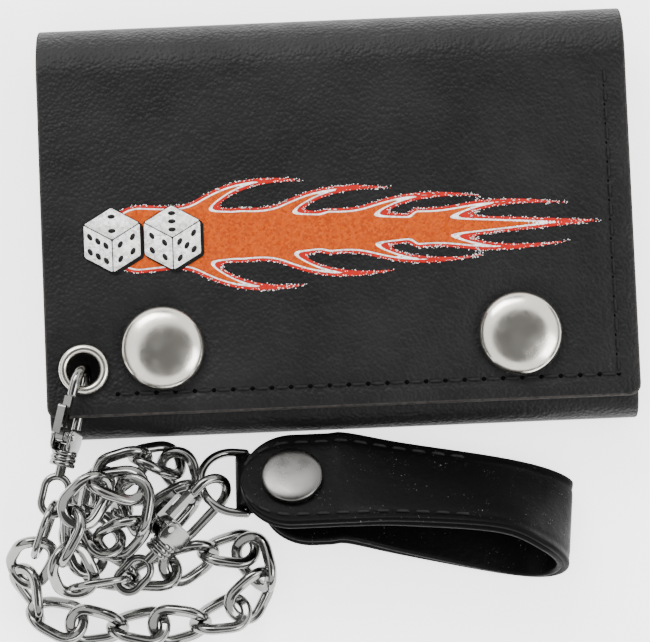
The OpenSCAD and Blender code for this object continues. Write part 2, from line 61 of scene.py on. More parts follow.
# ---- Wallet sizes, as in the CAD model ----
WALLET_W = 108.0
WALLET_H = 76.0
WALLET_T = 19.5
TUCK_T = 10.4
SLOPE = math.radians(3.5)
BOTTOM_REVEAL = 3.0
TUCK_REACH = 42.0
LEATHER_T = 1.2
LINING_T = 0.8
POCKET_T = 0.7
PANEL_T = LEATHER_T + LINING_T
TOP_R = WALLET_T / 2
TOP_Y = WALLET_H / 2 - TOP_R
BOTTOM_R = TUCK_T / 2
BOTTOM_Y = -WALLET_H / 2 + BOTTOM_R
FLAP_EDGE_Y = -WALLET_H / 2 + BOTTOM_REVEAL
TUCK_EDGE_Y = -WALLET_H / 2 + TUCK_REACH
SNAP_X = 32.5
SNAP_UP = 12.0
SNAP_R = 7.6
SNAP_H = 3.2
EYELET_X = -47.0
EYELET_UP = 8.7
EYELET_R = 2.9
EYELET_RIM_R = 4.65

# ---- Chain: the same route as in the CAD model ----
CHAIN_ROUTE = [
    (-53.9, -51.8, 14.3), (-56, -57, 11), (-60, -62, 6), (-58.5, -68.5, 3.8), (-50, -72, 3.7),
    (-40, -72.5, 3.7), (-29, -72.5, 3.7), (-18.5, -69, 3.7), (-16, -60, 3.7), (-26, -59.5, 3.7),
    (-35, -63, 3.7), (-44, -63, 3.7), (-51, -57, 3.7), (-49, -48, 3.7), (-40, -51.5, 3.7),
    (-31, -52, 3.7), (-29, -45, 3.7), (-33.5, -42, 7), (-39, -43, 11), (-45, -46.5, 10.8),
    (-47.5, -53.5, 10.8), (-43, -58.5, 12.5), (-37.5, -53, 16.5), (-40, -46, 18.5), (-46, -48.5, 19),
    (-51, -57, 17.5), (-50, -65, 12), (-42, -64.4, 10),
]
LINK_COUNT = 31
LINK_L = 12.0
LINK_W = 9.0
LINK_WIRE = 2.1
LEAD_LINKS = 4

# ---- Belt loop: its near and far edges, as in the CAD model ----
STRAP_W = 19.0
STRAP_T = 2.4
TILT = math.radians(26)
SNAP_BASE = np.array([-10, -50.6, 5.9])
LAYER_GAP = 6.4
STRAP_NORMAL = np.array([0, math.sin(TILT), math.cos(TILT)])
STRAP_ACROSS = np.array([0, math.cos(TILT), -math.sin(TILT)])
SNAP_TAB = SNAP_BASE + LAYER_GAP * STRAP_NORMAL
TAB_END_X = -19.4
BASE_END_X = -16.0


def strap_station(snap, x):
    """The near and far edge of the strap, x along from a snap."""
    middle = snap + np.array([x, 0, 0])
    return [middle - STRAP_W / 2 * STRAP_ACROSS, middle + STRAP_W / 2 * STRAP_ACROSS]


STRAP_STATIONS = np.array([
    strap_station(SNAP_TAB, TAB_END_X - SNAP_BASE[0]),
    strap_station(SNAP_TAB, -6),
    strap_station(SNAP_TAB, 6),
    strap_station(SNAP_TAB, 10),
    [(10, -56.6, 17), (10, -41.5, 6.2)],
    [(27, -58.5, 18), (27, -44.8, 5.4)],
    [(35, -62, 15.5), (36, -47, 4.4)],
    [(38.5, -65, 9.5), (40.5, -49, 3)],
    [(36, -66.5, 3.8), (37.5, -49.5, 1.8)],
    [(28, -65.6, 1.6), (28, -47, 1.5)],
    [(10, -61.6, 6.4), (10, -44, 1.7)],
    strap_station(SNAP_BASE, 10),
    strap_station(SNAP_BASE, 6),
    strap_station(SNAP_BASE, -2),
    strap_station(SNAP_BASE, BASE_END_X - SNAP_BASE[0]),
])
TAB_SPANS = 5
BEND_SPANS = 4


# ---- Curves ----
def curve(points, steps):
    """A smooth line through points, with the same rule as the CAD model's curves."""
    p = np.array(points, float)
    ends = np.concatenate([[2 * p[0] - p[1]], p, [2 * p[-1] - p[-2]]])
    t = (np.arange(steps) / steps).reshape(-1, *[1] * (p.ndim - 1))
    made = []
    for a, b, c, d in zip(ends, ends[1:], ends[2:], ends[3:]):
        made.append(0.5 * (2 * b + (c - a) * t + (2 * a - 5 * b + 4 * c - d) * t**2
                           + (3 * b - a - 3 * c + d) * t**3))
    return np.concatenate([*made, p[-1:]])


def distances(points):
    """Distance along a line at each of its points."""
    steps = np.linalg.norm(np.diff(points, axis=0), axis=1)
    return np.concatenate([[0], np.cumsum(steps)])


def along(points, at):
    """Points at given distances along a line."""
    far = distances(points)
    return np.stack([np.interp(at, far, points[:, k]) for k in range(points.shape[1])], axis=1)


def bezier(p0, p1, p2, p3, steps):
    """A cubic curve from p0 to just before p3."""
    t = (np.arange(steps) / steps)[:, None]
    p0, p1, p2, p3 = (np.array(p, float) for p in (p0, p1, p2, p3))
    return (1 - t)**3 * p0 + 3 * t * (1 - t)**2 * p1 + 3 * t**2 * (1 - t) * p2 + t**3 * p3


def unit(v):
    return v / np.linalg.norm(v)


# ---- Meshes ----
def piece(name, points, faces, materials, slots=None):
    """A smooth mesh object from points in millimetres. slots holds each face's material."""
    mesh = bpy.data.meshes.new(name)
    mesh.from_pydata([tuple(MM * c for c in p) for p in points], [], faces)
    for mat in materials:
        mesh.materials.append(mat)
    mesh.polygons.foreach_set("use_smooth", [True] * len(mesh.polygons))
    if slots is not None:
        mesh.polygons.foreach_set("material_index", slots)
    made = bpy.data.objects.new(name, mesh)
    bpy.context.scene.collection.objects.link(made)
    bm = bmesh.new()
    bm.from_mesh(mesh)
    bmesh.ops.remove_doubles(bm, verts=bm.verts, dist=1e-7)
    bmesh.ops.recalc_face_normals(bm, faces=bm.faces)
    bm.to_mesh(mesh)
    bm.free()
    mesh.update()
    return made


def grid_faces(rows, cols, start=0, wrap=False):
    """Quads between rows of points, with cols points in each row."""
    faces = []
    for i in range(rows - 1):
        for j in range(cols if wrap else cols - 1):
            k = (j + 1) % cols
            a = start + i * cols
            faces.append((a + j, a + k, a + cols + k, a + cols + j))
    return faces


def rod_faces(rows, cols):
    """Faces of a closed rod: rings of points with a flat cap on each end."""
    last = (rows - 1) * cols
    return grid_faces(rows, cols, wrap=True) + [tuple(range(cols)), tuple(range(last, last + cols))]


def ring_faces(rows, cols):
    """Faces of a wire or bar whose last ring of points joins its first."""
    last = (rows - 1) * cols
    faces = grid_faces(rows, cols, wrap=True)
    return faces + [(last + k, last + (k + 1) % cols, (k + 1) % cols, k) for k in range(cols)]


def settle(made, body, slot_name, *replaced):
    """Puts a piece on its body and hides the CAD nodes that it stands for. slot_name is not used."""
    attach(made, body)
    if replaced:
        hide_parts(*replaced)


class Parts:
    """Collects the points and faces of several shells for one piece."""

    def __init__(self):
        self.points = []
        self.faces = []
        self.slots = []

    def add(self, points, faces, slot=0):
        start = len(self.points)
        self.points.extend(np.asarray(points, float).tolist())
        self.faces.extend(tuple(start + i for i in f) for f in faces)
        self.slots.extend([slot] * len(faces) if np.isscalar(slot) else slot)

    def piece(self, name, *materials):
        return piece(name, self.points, self.faces, materials, self.slots)


def lathe(profile, place, segments=96):
    """Points and faces of a turned shape. profile is (radius, height) pairs; place maps to the wallet."""
    points = []
    for r, z in profile:
        for k in range(segments):
            a = 2 * math.pi * k / segments
            points.append(place(r * math.cos(a), r * math.sin(a), z))
    return points, grid_faces(len(profile), segments, wrap=True)


def arc(cx, cz, r, start, end, steps):
    """Points of a round stretch of a profile, with angles in degrees."""
    angles = np.radians(np.linspace(start, end, steps + 1))
    return [(cx + r * math.cos(a), cz + r * math.sin(a)) for a in angles]


def tube(line, radii, sides):
    """Points and faces of a closed round wire along a line, with a radius at each of its points."""
    line = np.array(line, float)
    n = len(line)
    points = []
    side = None
    for i in range(n):
        d = unit(line[min(i + 1, n - 1)] - line[max(i - 1, 0)])
        if side is None:
            side = unit(np.cross(d, [0.3, 0.2, 1]))
        side = unit(side - (side @ d) * d)
        up = np.cross(d, side)
        for k in range(sides):
            a = 2 * math.pi * k / sides
            points.append(line[i] + radii[i] * (math.cos(a) * side + math.sin(a) * up))
    return points, rod_faces(n, sides)


# ---- Leather panels ----
RIM_STEPS = 4


def panel_rows(length, near_r, far_r, step):
    """Distances along a panel for its rows of points, closer together in its round corners."""
    corner = 1 - np.cos(np.linspace(0, math.pi / 2, 6))
    middle_n = max(2, int((length - near_r - far_r) / step))
    rows = [
        near_r * corner if near_r else np.array([0.0]),
        np.linspace(near_r, length - far_r, middle_n + 1),
        length - far_r * corner[::-1] if far_r else np.array([length]),
    ]
    return np.unique(np.round(np.concatenate(rows), 6))


def panel(surface, width, length, lift, thickness, near_r=0.0, far_r=0.0, step=2.0, centre=0.0):
    """Points, faces and slots of a leather panel with soft cut edges.

    surface(x, v, lift) gives a point on the panel. v runs from 0 to length, and lift is
    the height of the panel's outer face. Slot 0 is the faces and slot 1 the cut edge.
    """
    rows = panel_rows(length, near_r, far_r, step)
    cols = np.linspace(-1, 1, max(3, int(width / step)) + 1)

    def layer(inset, height):
        points = []
        for v in rows:
            v = min(max(v, inset), length - inset)
            half = width / 2 - inset
            for corner_r, gap in ((near_r, v), (far_r, length - v)):
                if gap < corner_r:
                    half = width / 2 - corner_r
                    half += math.sqrt(max(0, (corner_r - inset)**2 - (corner_r - gap)**2))
            points.extend(surface(centre + c * half, v, height) for c in cols)
        return points

    n, m = len(rows), len(cols)
    loop = [j for j in range(m)] + [i * m + m - 1 for i in range(1, n)]
    loop += [(n - 1) * m + j for j in range(m - 2, -1, -1)] + [i * m for i in range(n - 2, 0, -1)]
    edge = 0.35 * thickness
    top = layer(edge, lift)
    bottom = layer(edge, lift - thickness)
    points = top + bottom
    faces = grid_faces(n, m) + grid_faces(n, m, start=n * m)
    slots = [0] * len(faces)
    previous = loop
    for k in range(1, RIM_STEPS + 1):
        angle = math.pi * k / (RIM_STEPS + 1)
        ring = layer(edge * (1 - math.sin(angle)), lift - thickness / 2 * (1 - math.cos(angle)))
        start = len(points)
        points = points + [ring[i] for i in loop]
        current = [start + i for i in range(len(loop))]
        faces += [(previous[i], previous[(i + 1) % len(loop)], current[(i + 1) % len(loop)], current[i])
                  for i in range(len(loop))]
        previous = current
    current = [n * m + i for i in loop]
    faces += [(previous[i], previous[(i + 1) % len(loop)], current[(i + 1) % len(loop)], current[i])
              for i in range(len(loop))]
    slots += [1] * (len(faces) - len(slots))
    return points, faces, slots


def cut(target, cutter_points, cutter_faces):
    """Cuts a closed shape out of a piece."""
    tool = piece("cutter", cutter_points, cutter_faces, [])
    made = target.modifiers.new("cut", "BOOLEAN")
    made.operation = "DIFFERENCE"
    made.solver = "EXACT"
    made.object = tool
    bpy.context.view_layer.objects.active = target
    bpy.ops.object.modifier_apply(modifier=made.name)
    bpy.data.objects.remove(tool)


def cut_round(target, place, r, reach, sides):
    """Cuts a round hole, place giving its frame and reach its depth each way."""
    points, faces = lathe([(r, -reach), (r, reach)], place, segments=sides)
    cut(target, points, faces + [tuple(range(sides)), tuple(range(sides, 2 * sides))])


# ---- Materials ----
class Finish:
    """A procedural material. Its textures are laid out in metres, in the object's own space."""

    def __init__(self, name, **sockets):
        self.mat = bpy.data.materials.new(name)
        self.mat.use_nodes = True
        self.nodes = self.mat.node_tree.nodes
        self.shader = self.nodes["Principled BSDF"]
        self.space = self.nodes.new("ShaderNodeTexCoord").outputs["Object"]
        for socket, value in sockets.items():
            self.shader.inputs[socket.replace("_", " ")].default_value = value

    def link(self, a, b):
        self.mat.node_tree.links.new(a, b)

    def noise(self, scale, detail=3.0, rough=0.55):
        node = self.nodes.new("ShaderNodeTexNoise")
        node.inputs["Scale"].default_value = scale
        node.inputs["Detail"].default_value = detail
        node.inputs["Roughness"].default_value = rough
        self.link(self.space, node.inputs["Vector"])
        return node.outputs["Fac"]

    def cells(self, scale, feature="F1", output="Distance", smooth=None):
        node = self.nodes.new("ShaderNodeTexVoronoi")
        node.feature = feature
        node.inputs["Scale"].default_value = scale
        if smooth is not None:
            node.inputs["Smoothness"].default_value = smooth
        self.link(self.space, node.inputs["Vector"])
        return node.outputs[output]

    def ramp(self, source, *stops):
        """Colours along a 0 to 1 value. Each stop is (place, colour)."""
        node = self.nodes.new("ShaderNodeValToRGB")
        elements = node.color_ramp.elements
        while len(elements) < len(stops):
            elements.new(0.5)
        for element, (place, colour) in zip(elements, stops):
            element.position = place
            element.color = (*colour, 1)
        self.link(source, node.inputs["Fac"])
        return node.outputs["Color"]

    def spread(self, source, low, high, at=(0.0, 1.0)):
        node = self.nodes.new("ShaderNodeMapRange")
        node.inputs["From Min"].default_value = at[0]
        node.inputs["From Max"].default_value = at[1]
        node.inputs["To Min"].default_value = low
        node.inputs["To Max"].default_value = high
        self.link(source, node.inputs["Value"])
        return node.outputs["Result"]

    def math(self, operation, a, b):
        node = self.nodes.new("ShaderNodeMath")
        node.operation = operation
        for socket, value in zip(node.inputs, (a, b)):
            if isinstance(value, (int, float)):
                socket.default_value = value
            else:
                self.link(value, socket)
        return node.outputs["Value"]

    def bump(self, height, depth):
        node = self.nodes.new("ShaderNodeBump")
        node.inputs["Distance"].default_value = depth
        self.link(height, node.inputs["Height"])
        self.link(node.outputs["Normal"], self.shader.inputs["Normal"])

    def colour(self, source):
        self.link(source, self.shader.inputs["Base Color"])

    def roughness(self, source):
        self.link(source, self.shader.inputs["Roughness"])


def pebbled_leather():
    """Black grained leather: small pebbles with creases between them."""
    f = Finish("wallet_leather", Specular_IOR_Level=0.2)
    pebbles = f.cells(1500, "SMOOTH_F1", smooth=0.3)
    creases = f.noise(650, 4)
    f.colour(f.ramp(f.noise(60, 3), (0.35, (0.0035, 0.0035, 0.0038)), (0.7, (0.008, 0.008, 0.0085))))
    f.roughness(f.spread(f.noise(300, 2), 0.42, 0.6))
    f.bump(f.math("ADD", f.math("MULTIPLY", pebbles, -0.75), f.math("MULTIPLY", creases, 0.55)), 0.00018)
    return f.mat


def cut_edge():
    """The raw edge of black leather: dyed, fibrous and dull."""
    f = Finish("leather_cut_edge", Specular_IOR_Level=0.15)
    f.colour(f.ramp(f.noise(900, 4), (0.3, (0.012, 0.011, 0.011)), (0.75, (0.045, 0.04, 0.036))))
    f.roughness(f.spread(f.noise(700), 0.65, 0.9))
    f.bump(f.noise(2200, 4), 0.00015)
    return f.mat


def lining_leather():
    """Smooth split leather on the inside."""
    f = Finish("lining_leather", Specular_IOR_Level=0.2)
    f.colour(f.ramp(f.noise(240, 4), (0.3, (0.008, 0.0075, 0.0075)), (0.75, (0.016, 0.015, 0.0145))))
    f.roughness(f.spread(f.noise(500), 0.55, 0.75))
    f.bump(f.noise(1800, 5, 0.65), 0.00012)
    return f.mat


def strap_leather():
    """Glossy finished strap leather with a light sprinkle of painted glints: pale specks in the colour."""
    f = Finish("strap_leather", Specular_IOR_Level=0.05, Coat_Weight=0.012, Coat_Roughness=0.2)
    # Painted highlight: pale specks in small patches stand in for glints of light in the colour, and the bump
    # dips under them.
    specks = f.spread(f.noise(2600, 2, 0.7), 0, 1, at=(0.68, 0.74))
    patches = f.spread(f.noise(170, 3), 0, 1, at=(0.45, 0.62))
    painted_glints = f.math("MULTIPLY", specks, patches)
    f.colour(f.ramp(painted_glints, (0.0, (0.002, 0.002, 0.002)), (1.0, (0.2, 0.195, 0.19))))
    f.roughness(f.spread(f.noise(380, 4), 0.32, 0.55))
    f.bump(f.math("ADD", f.noise(700, 5, 0.6), f.math("MULTIPLY", painted_glints, -0.5)), 0.00012)
    return f.mat


def clear_vinyl():
    f = Finish("clear_vinyl", Transmission_Weight=0.92, IOR=1.38, Specular_IOR_Level=0.5)
    f.colour(f.ramp(f.noise(30), (0.3, (0.84, 0.87, 0.89)), (0.7, (0.92, 0.94, 0.95))))
    f.roughness(f.spread(f.noise(90, 3), 0.08, 0.2))
    f.bump(f.noise(50, 2), 0.0003)
    return f.mat


def waxed_thread():
    """Black bonded thread, with the twist of its plies."""
    f = Finish("thread", Specular_IOR_Level=0.2)
    f.colour(f.ramp(f.noise(1500), (0.3, (0.004, 0.004, 0.004)), (0.75, (0.012, 0.012, 0.012))))
    f.roughness(f.spread(f.noise(900), 0.6, 0.8))
    f.bump(f.noise(3200, 3), 0.0001)
    return f.mat


def plated(name, low, high, rough):
    """Plated metal with a faint haze and fine rubbing marks."""
    f = Finish(name, Metallic=1.0)
    f.colour(f.ramp(f.noise(90, 4), (0.3, low), (0.75, high)))
    haze = f.noise(220, 5, 0.65)
    f.roughness(f.spread(haze, rough * 0.7, rough * 1.5, at=(0.3, 0.75)))
    f.bump(f.noise(700, 5, 0.7), 0.00001)
    return f.mat


def glitter(name, dark, middle, light, flake=2100):
    """Glitter print: small flakes, each its own shade and tilt, under a clear film."""
    f = Finish(name, Specular_IOR_Level=0.15)
    shade = f.nodes.new("ShaderNodeSeparateColor")
    f.link(f.cells(flake, output="Color"), shade.inputs["Color"])
    flakes = f.math("MULTIPLY", shade.outputs["Red"], 0.8)
    tone = f.math("ADD", flakes, f.math("MULTIPLY", f.noise(160), 0.3))
    f.colour(f.ramp(tone, (0.12, dark), (0.5, middle), (0.95, light)))
    f.roughness(f.spread(shade.outputs["Green"], 0.2, 0.6))
    f.bump(shade.outputs["Blue"], 0.00003)
    return f.mat


def print_ink(name, low, high, gloss=0.15):
    f = Finish(name, Specular_IOR_Level=gloss)
    f.colour(f.ramp(f.noise(500, 4), (0.3, low), (0.7, high)))
    f.roughness(f.spread(f.noise(300), 0.38, 0.55))
    f.bump(f.noise(1500, 4), 0.00008)
    return f.mat


LEATHER = pebbled_leather()
CUT_EDGE = cut_edge()
LINING = lining_leather()
STRAP = strap_leather()
VINYL = clear_vinyl()
THREAD = waxed_thread()
NICKEL = plated("polished_nickel", (0.66, 0.63, 0.56), (0.80, 0.77, 0.70), 0.2)
STEEL = plated("plated_steel", (0.26, 0.26, 0.26), (0.38, 0.38, 0.37), 0.2)
SATIN_NICKEL = plated("satin_nickel", (0.12, 0.118, 0.113), (0.16, 0.157, 0.15), 0.28)
CHAIN_STEEL = plated("chain_steel", (0.17, 0.17, 0.165), (0.27, 0.27, 0.26), 0.11)
ORANGE = glitter("flame_orange", (0.27, 0.03, 0.0), (0.35, 0.045, 0.0), (0.43, 0.062, 0.0),
                 flake=2600)
RED = print_ink("flame_red", (0.30, 0.003, 0.001), (0.38, 0.006, 0.002))
WHITE = glitter("dice_white", (0.46, 0.45, 0.44), (0.74, 0.73, 0.71), (0.97, 0.97, 0.96))
BLACK = print_ink("print_black", (0.003, 0.003, 0.003), (0.007, 0.007, 0.007))
# Near-black ink for the painted shade in the stitches' awl holes.
HOLE_SHADE = print_ink("awl_hole_shade", (0.0003, 0.0003, 0.0003), (0.001, 0.001, 0.001), gloss=0.03)


# ---- Camera: looks down on the wallet from a little below its front edge ----
CAMERA_EL = math.radians(82)
CAMERA_AZ = math.radians(1)
CAMERA_ROLL = math.radians(-3.37)
CAMERA_FAR = 550.0
FRAME_W = 650
SENSOR = 36.0
PX_PER_MM = 5.412
CENTRE_RIGHT = -2.14
CENTRE_UP = -18.3


def camera():
    back = Vector((math.sin(CAMERA_AZ) * math.cos(CAMERA_EL), -math.cos(CAMERA_AZ) * math.cos(CAMERA_EL),
                   math.sin(CAMERA_EL)))
    right = Vector((math.cos(CAMERA_AZ), math.sin(CAMERA_AZ), 0))
    up = back.cross(right)
    turned_right = math.cos(CAMERA_ROLL) * right + math.sin(CAMERA_ROLL) * up
    turned_up = math.cos(CAMERA_ROLL) * up - math.sin(CAMERA_ROLL) * right
    aim = Vector((0, 0, 10)) + CENTRE_RIGHT * turned_right + CENTRE_UP * turned_up
    data = bpy.data.cameras.new("camera")
    data.sensor_width = SENSOR
    data.lens = PX_PER_MM * CAMERA_FAR / FRAME_W * SENSOR
    data.clip_start = 0.01
    made = bpy.data.objects.new("camera", data)
    axes = Matrix((turned_right, turned_up, back)).transposed().to_4x4()
    made.matrix_world = Matrix.Translation(MM * (aim + CAMERA_FAR * back)) @ axes
    bpy.context.scene.collection.objects.link(made)
    bpy.context.scene.camera = made


camera()


# ---- Chain: twisted curb links with flattened faces ----
chain_line = curve(CHAIN_ROUTE, 12)
chain_length = distances(chain_line)[-1]


def link_oval(wire):
    """The middle line of a flat link, before it is twisted."""
    turn_r = (LINK_W - wire) / 2
    straight = (LINK_L - wire) / 2 - turn_r
    line = []
    for side in (1, -1):
        for t in np.linspace(0, 1, 5)[:-1]:
            line.append((side * (-straight + 2 * straight * t), -side * turn_r))
        for a in np.linspace(-90, 90, 15)[:-1]:
            a = math.radians(a)
            line.append((side * (straight + turn_r * math.cos(a)), side * turn_r * math.sin(a)))
    return np.array(line)


END_LINK_WIRE = 1.5
LINK_TWIST = math.radians(28)
WIRE_SIDES = 14
FLAT_SHARE = 0.78


def link_points(start, end, roll, wire, most_twist):
    """One link lying between two places on the chain's line, twisted along its length."""
    d = end - start
    flat = math.hypot(d[0], d[1])
    turn = Matrix.Rotation(math.atan2(d[1], d[0]), 3, "Z")
    pitch = Matrix.Rotation(-math.atan2(d[2], flat), 3, "Y")
    place = np.array(turn @ pitch @ Matrix.Rotation(roll, 3, "X"))
    middle = (start + end) / 2
    oval = link_oval(wire)
    n = len(oval)
    points = []
    for i in range(n):
        x, y = oval[i]
        d2 = unit(oval[(i + 1) % n] - oval[i - 1])
        out = np.array([d2[1], -d2[0], 0])
        twist = most_twist * x / (LINK_L / 2)
        c, s = math.cos(twist), math.sin(twist)
        for k in range(WIRE_SIDES):
            a = 2 * math.pi * k / WIRE_SIDES
            r = wire / 2
            across, height = r * math.cos(a), r * math.sin(a)
            height = max(-FLAT_SHARE * r, min(FLAT_SHARE * r, height))
            p = np.array([x, y, height]) + across * out
            p = np.array([p[0], c * p[1] - s * p[2], s * p[1] + c * p[2]])
            p = middle + place @ p
            p[2] = max(p[2], 0)
            points.append(p)
    return points, ring_faces(n, WIRE_SIDES)


def chain():
    parts = Parts()
    places = along(chain_line, chain_length * np.arange(LINK_COUNT + 1) / LINK_COUNT)
    for i in range(LINK_COUNT):
        from_end = min(i, LINK_COUNT - 1 - i)
        roll = (45 if i % 2 == 0 else -45) + 45 * max(0, 1 - from_end / LEAD_LINKS)
        wire, twist = (LINK_WIRE, LINK_TWIST) if from_end else (END_LINK_WIRE, 0)
        parts.add(*link_points(places[i], places[i + 1], math.radians(roll), wire, twist))
    made = parts.piece("chain", CHAIN_STEEL)
    settle(made, "flap", "chain_steel", "chain_links")
    return made


chain_piece = chain()

# ---- Wallet leather: one sheet that wraps the back, the top fold and the flap ----
FLAP_DOWN = np.array([0, -math.cos(SLOPE), -math.sin(SLOPE)])
FLAP_UP = np.array([0, -math.sin(SLOPE), math.cos(SLOPE)])
FLAP_START = np.array([0, TOP_Y, WALLET_T])
SNAP_Y = FLAP_EDGE_Y + SNAP_UP
EYELET_Y = FLAP_EDGE_Y + EYELET_UP
STITCH_INSET = 4.0
STITCH_PITCH = 3.4
FLAP_CORNER_R = 2.0
PUCKER = 0.4
EYELET_PUCKER = 0.3
GROOVE = 0.22
GROOVE_HALF_W = 0.8
EDGE_DROP = 0.25
EDGE_DROP_W = 1.3
BOTTOM_SEAM_START_X = SNAP_X - 76


def dent(r, at, wide):
    """A smooth bump of height 1 around one distance."""
    return math.exp(-((r - at) / wide)**2)


def relief(x, y):
    """Height of the flap's soft surface over its flat plane, in millimetres."""
    rise = 0.07 * math.sin(0.11 * x + 0.7) * math.sin(0.13 * y + 0.4)
    rise += 0.025 * math.sin(0.29 * x - 0.21 * y)
    for side in (-1, 1):
        rise -= PUCKER * dent(math.hypot(x - side * SNAP_X, y - SNAP_Y), SNAP_R - 0.5, 3.0)
    rise -= EYELET_PUCKER * dent(math.hypot(x - EYELET_X, y - EYELET_Y), EYELET_RIM_R - 0.5, 2.0)
    side_line = WALLET_W / 2 - STITCH_INSET
    bottom_line = FLAP_EDGE_Y + STITCH_INSET
    if y > bottom_line:
        rise -= GROOVE * dent(x, side_line, GROOVE_HALF_W)
    if BOTTOM_SEAM_START_X < x < side_line:
        rise -= GROOVE * dent(y, bottom_line, GROOVE_HALF_W)
    edge_gap = min(WALLET_W / 2 - abs(x), y - FLAP_EDGE_Y)
    rise -= EDGE_DROP * dent(edge_gap, 0, EDGE_DROP_W)
    return rise


def on_flap(x, y, lift):
    """A point over the flap, with y in the wallet's frame and lift over the leather."""
    down = (TOP_Y - y) / math.cos(SLOPE)
    return FLAP_START + [x, 0, 0] + down * FLAP_DOWN + (lift + relief(x, y)) * FLAP_UP


BACK_L = TOP_Y - BOTTOM_Y
FOLD_TURN = math.pi + SLOPE
FOLD_L = TOP_R * FOLD_TURN


def cover_surface(x, v, lift):
    """The wallet's outer face, v along it from the back's bottom edge round to the flap's edge."""
    if v < BACK_L:
        return np.array([x, BOTTOM_Y + v, -lift])
    if v < BACK_L + FOLD_L:
        a = (v - BACK_L) / TOP_R
        r = TOP_R + lift
        return np.array([x, TOP_Y + r * math.sin(a), TOP_R - r * math.cos(a)])
    down = v - BACK_L - FOLD_L
    y = TOP_Y - TOP_R * math.sin(SLOPE) - down * math.cos(SLOPE)
    fade = min(1, down / 6)
    return on_flap(x, y, lift + (fade - 1) * relief(x, y))


COVER_L = BACK_L + FOLD_L + (TOP_Y - TOP_R * math.sin(SLOPE) - FLAP_EDGE_Y) / math.cos(SLOPE)
EYELET_CUT_R = 3.3
CUTTER_SIDES = 40
CUTTER_REACH = 5
COVER_BEND = (4.1, 15.6)


def cut_flap_hole(target, x, y, r):
    def place(a, b, z):
        return on_flap(x + a, y, z) + b * -FLAP_DOWN

    cut_round(target, place, r, CUTTER_REACH, CUTTER_SIDES)


def cover(name, lift, thickness, material, replaced):
    points, faces, slots = panel(cover_surface, WALLET_W, COVER_L, lift, thickness,
                                 far_r=FLAP_CORNER_R, step=1.0)
    made = piece(name, points, faces, [material, CUT_EDGE], slots)
    cut_flap_hole(made, EYELET_X, EYELET_Y, EYELET_CUT_R)
    start, end = (tuple(MM * rise * FLAP_UP) for rise in COVER_BEND)
    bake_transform(made)
    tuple(start)
    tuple(end)
    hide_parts(*replaced)


cover("cover_leather", 0, LEATHER_T, LEATHER, ["back_leather", "top_fold", "flap_leather"])
cover("cover_lining", -LEATHER_T, LINING_T, LINING, ["back_lining", "flap_lining"])

TUCK_L = TUCK_EDGE_Y - BOTTOM_Y
TUCK_FOLD_L = math.pi * BOTTOM_R


def tuck_surface(x, v, lift):
    """The outer face of the tucked panel, v from the back's bottom edge round to the panel's edge."""
    if v < TUCK_FOLD_L:
        a = v / BOTTOM_R
        r = BOTTOM_R + lift
        return np.array([x, BOTTOM_Y - r * math.sin(a), BOTTOM_R - r * math.cos(a)])
    return np.array([x, BOTTOM_Y + v - TUCK_FOLD_L, TUCK_T + lift])


def tuck(name, lift, thickness, material, replaced):
    points, faces, slots = panel(tuck_surface, WALLET_W, TUCK_FOLD_L + TUCK_L, lift, thickness,
                                 far_r=FLAP_CORNER_R, step=1.5)
    made = piece(name, points, faces, [material, CUT_EDGE], slots)
    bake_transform(made)
    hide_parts(*replaced)


tuck("tuck_cover", 0, LEATHER_T, LEATHER, ["bottom_fold", "tuck_leather"])
tuck("tuck_inner", -LEATHER_T, LINING_T, LINING, ["tuck_lining"])


# ---- Card pockets ----
STITCH_HALF_L = 1.25
STITCH_RISE = 0.24
STITCH_SUNK = 0.12
THREAD_END_R = 0.12
THREAD_SWELL = 0.16
POCKET_FAR_R = 3.0
POCKET_NEAR_R = 1.0
POCKET_SEAM_INSET = 1.6
POCKET_SEAM_START = 2
POCKET_SEAM_ENDS = 5


def stitch_row(parts, at, length):
    """Small thread arches. at(s, lift) gives a point s along the seam, lift over the leather."""
    count = int(length / STITCH_PITCH)
    places = np.linspace(-1, 1, 9)
    arch = [math.sqrt(max(0, 1 - t**4)) for t in places]
    radii = [THREAD_END_R + THREAD_SWELL * a for a in arch]
    for i in range(count):
        middle = (i + 0.5) * length / count
        line = [at(middle + STITCH_HALF_L * t, STITCH_RISE * a - STITCH_SUNK) for t, a in zip(places, arch)]
        parts.add(*tube(line, radii, 8))


def pocket(node, body, up=1):
    """A rounded leather panel in the place of a flat pocket, sewn down its two sides."""
    low, high = (np.array(c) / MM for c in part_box(node))
    size = high - low
    face = high[2] if up > 0 else low[2]

    def surface(x, v, lift):
        return np.array([x, low[1] + v, face + up * lift])

    points, faces, slots = panel(surface, size[0], size[1], 0, size[2],
                                 far_r=POCKET_FAR_R, near_r=POCKET_NEAR_R, step=2.5)
    made = piece(node + "_panel", points, faces, [LINING, CUT_EDGE], slots)
    settle(made, body, "lining_leather", node)
    parts = Parts()
    for side in (-1, 1):
        x = side * (size[0] / 2 - POCKET_SEAM_INSET)
        stitch_row(parts, lambda s, lift: surface(x, POCKET_SEAM_START + s, lift), size[1] - POCKET_SEAM_ENDS)
    settle(parts.piece(node + "_stitches", THREAD), body, "thread")


for layer in ("rear", "middle", "front"):
    pocket("card_pocket_" + layer, "back")
pocket("tuck_pocket", "tuck", up=-1)


# ---- Window for a card, on the flap's inside ----
WINDOW_W = 72.0
WINDOW_H = 26.0
WINDOW_SEAM_OUT = 2.5
FRAME_GAP = 0.02
FRAME_ROLL = 0.25
FRAME_CORNER_R = 2.5


def rounded_outline(width, height, r, inset=0.0, steps=8):
    """Points of a rectangle with round corners, all insets giving the same number of points."""
    outline = []
    r = max(r - inset, 0.05)
    half_w, half_h = width / 2 - inset - r, height / 2 - inset - r
    corners = ((half_w, half_h), (-half_w, half_h), (-half_w, -half_h), (half_w, -half_h))
    for quarter, (cx, cy) in enumerate(corners):
        for k in range(steps + 1):
            a = math.radians(90 * quarter + 90 * k / steps)
            outline.append((cx + r * math.cos(a), cy + r * math.sin(a)))
    return outline


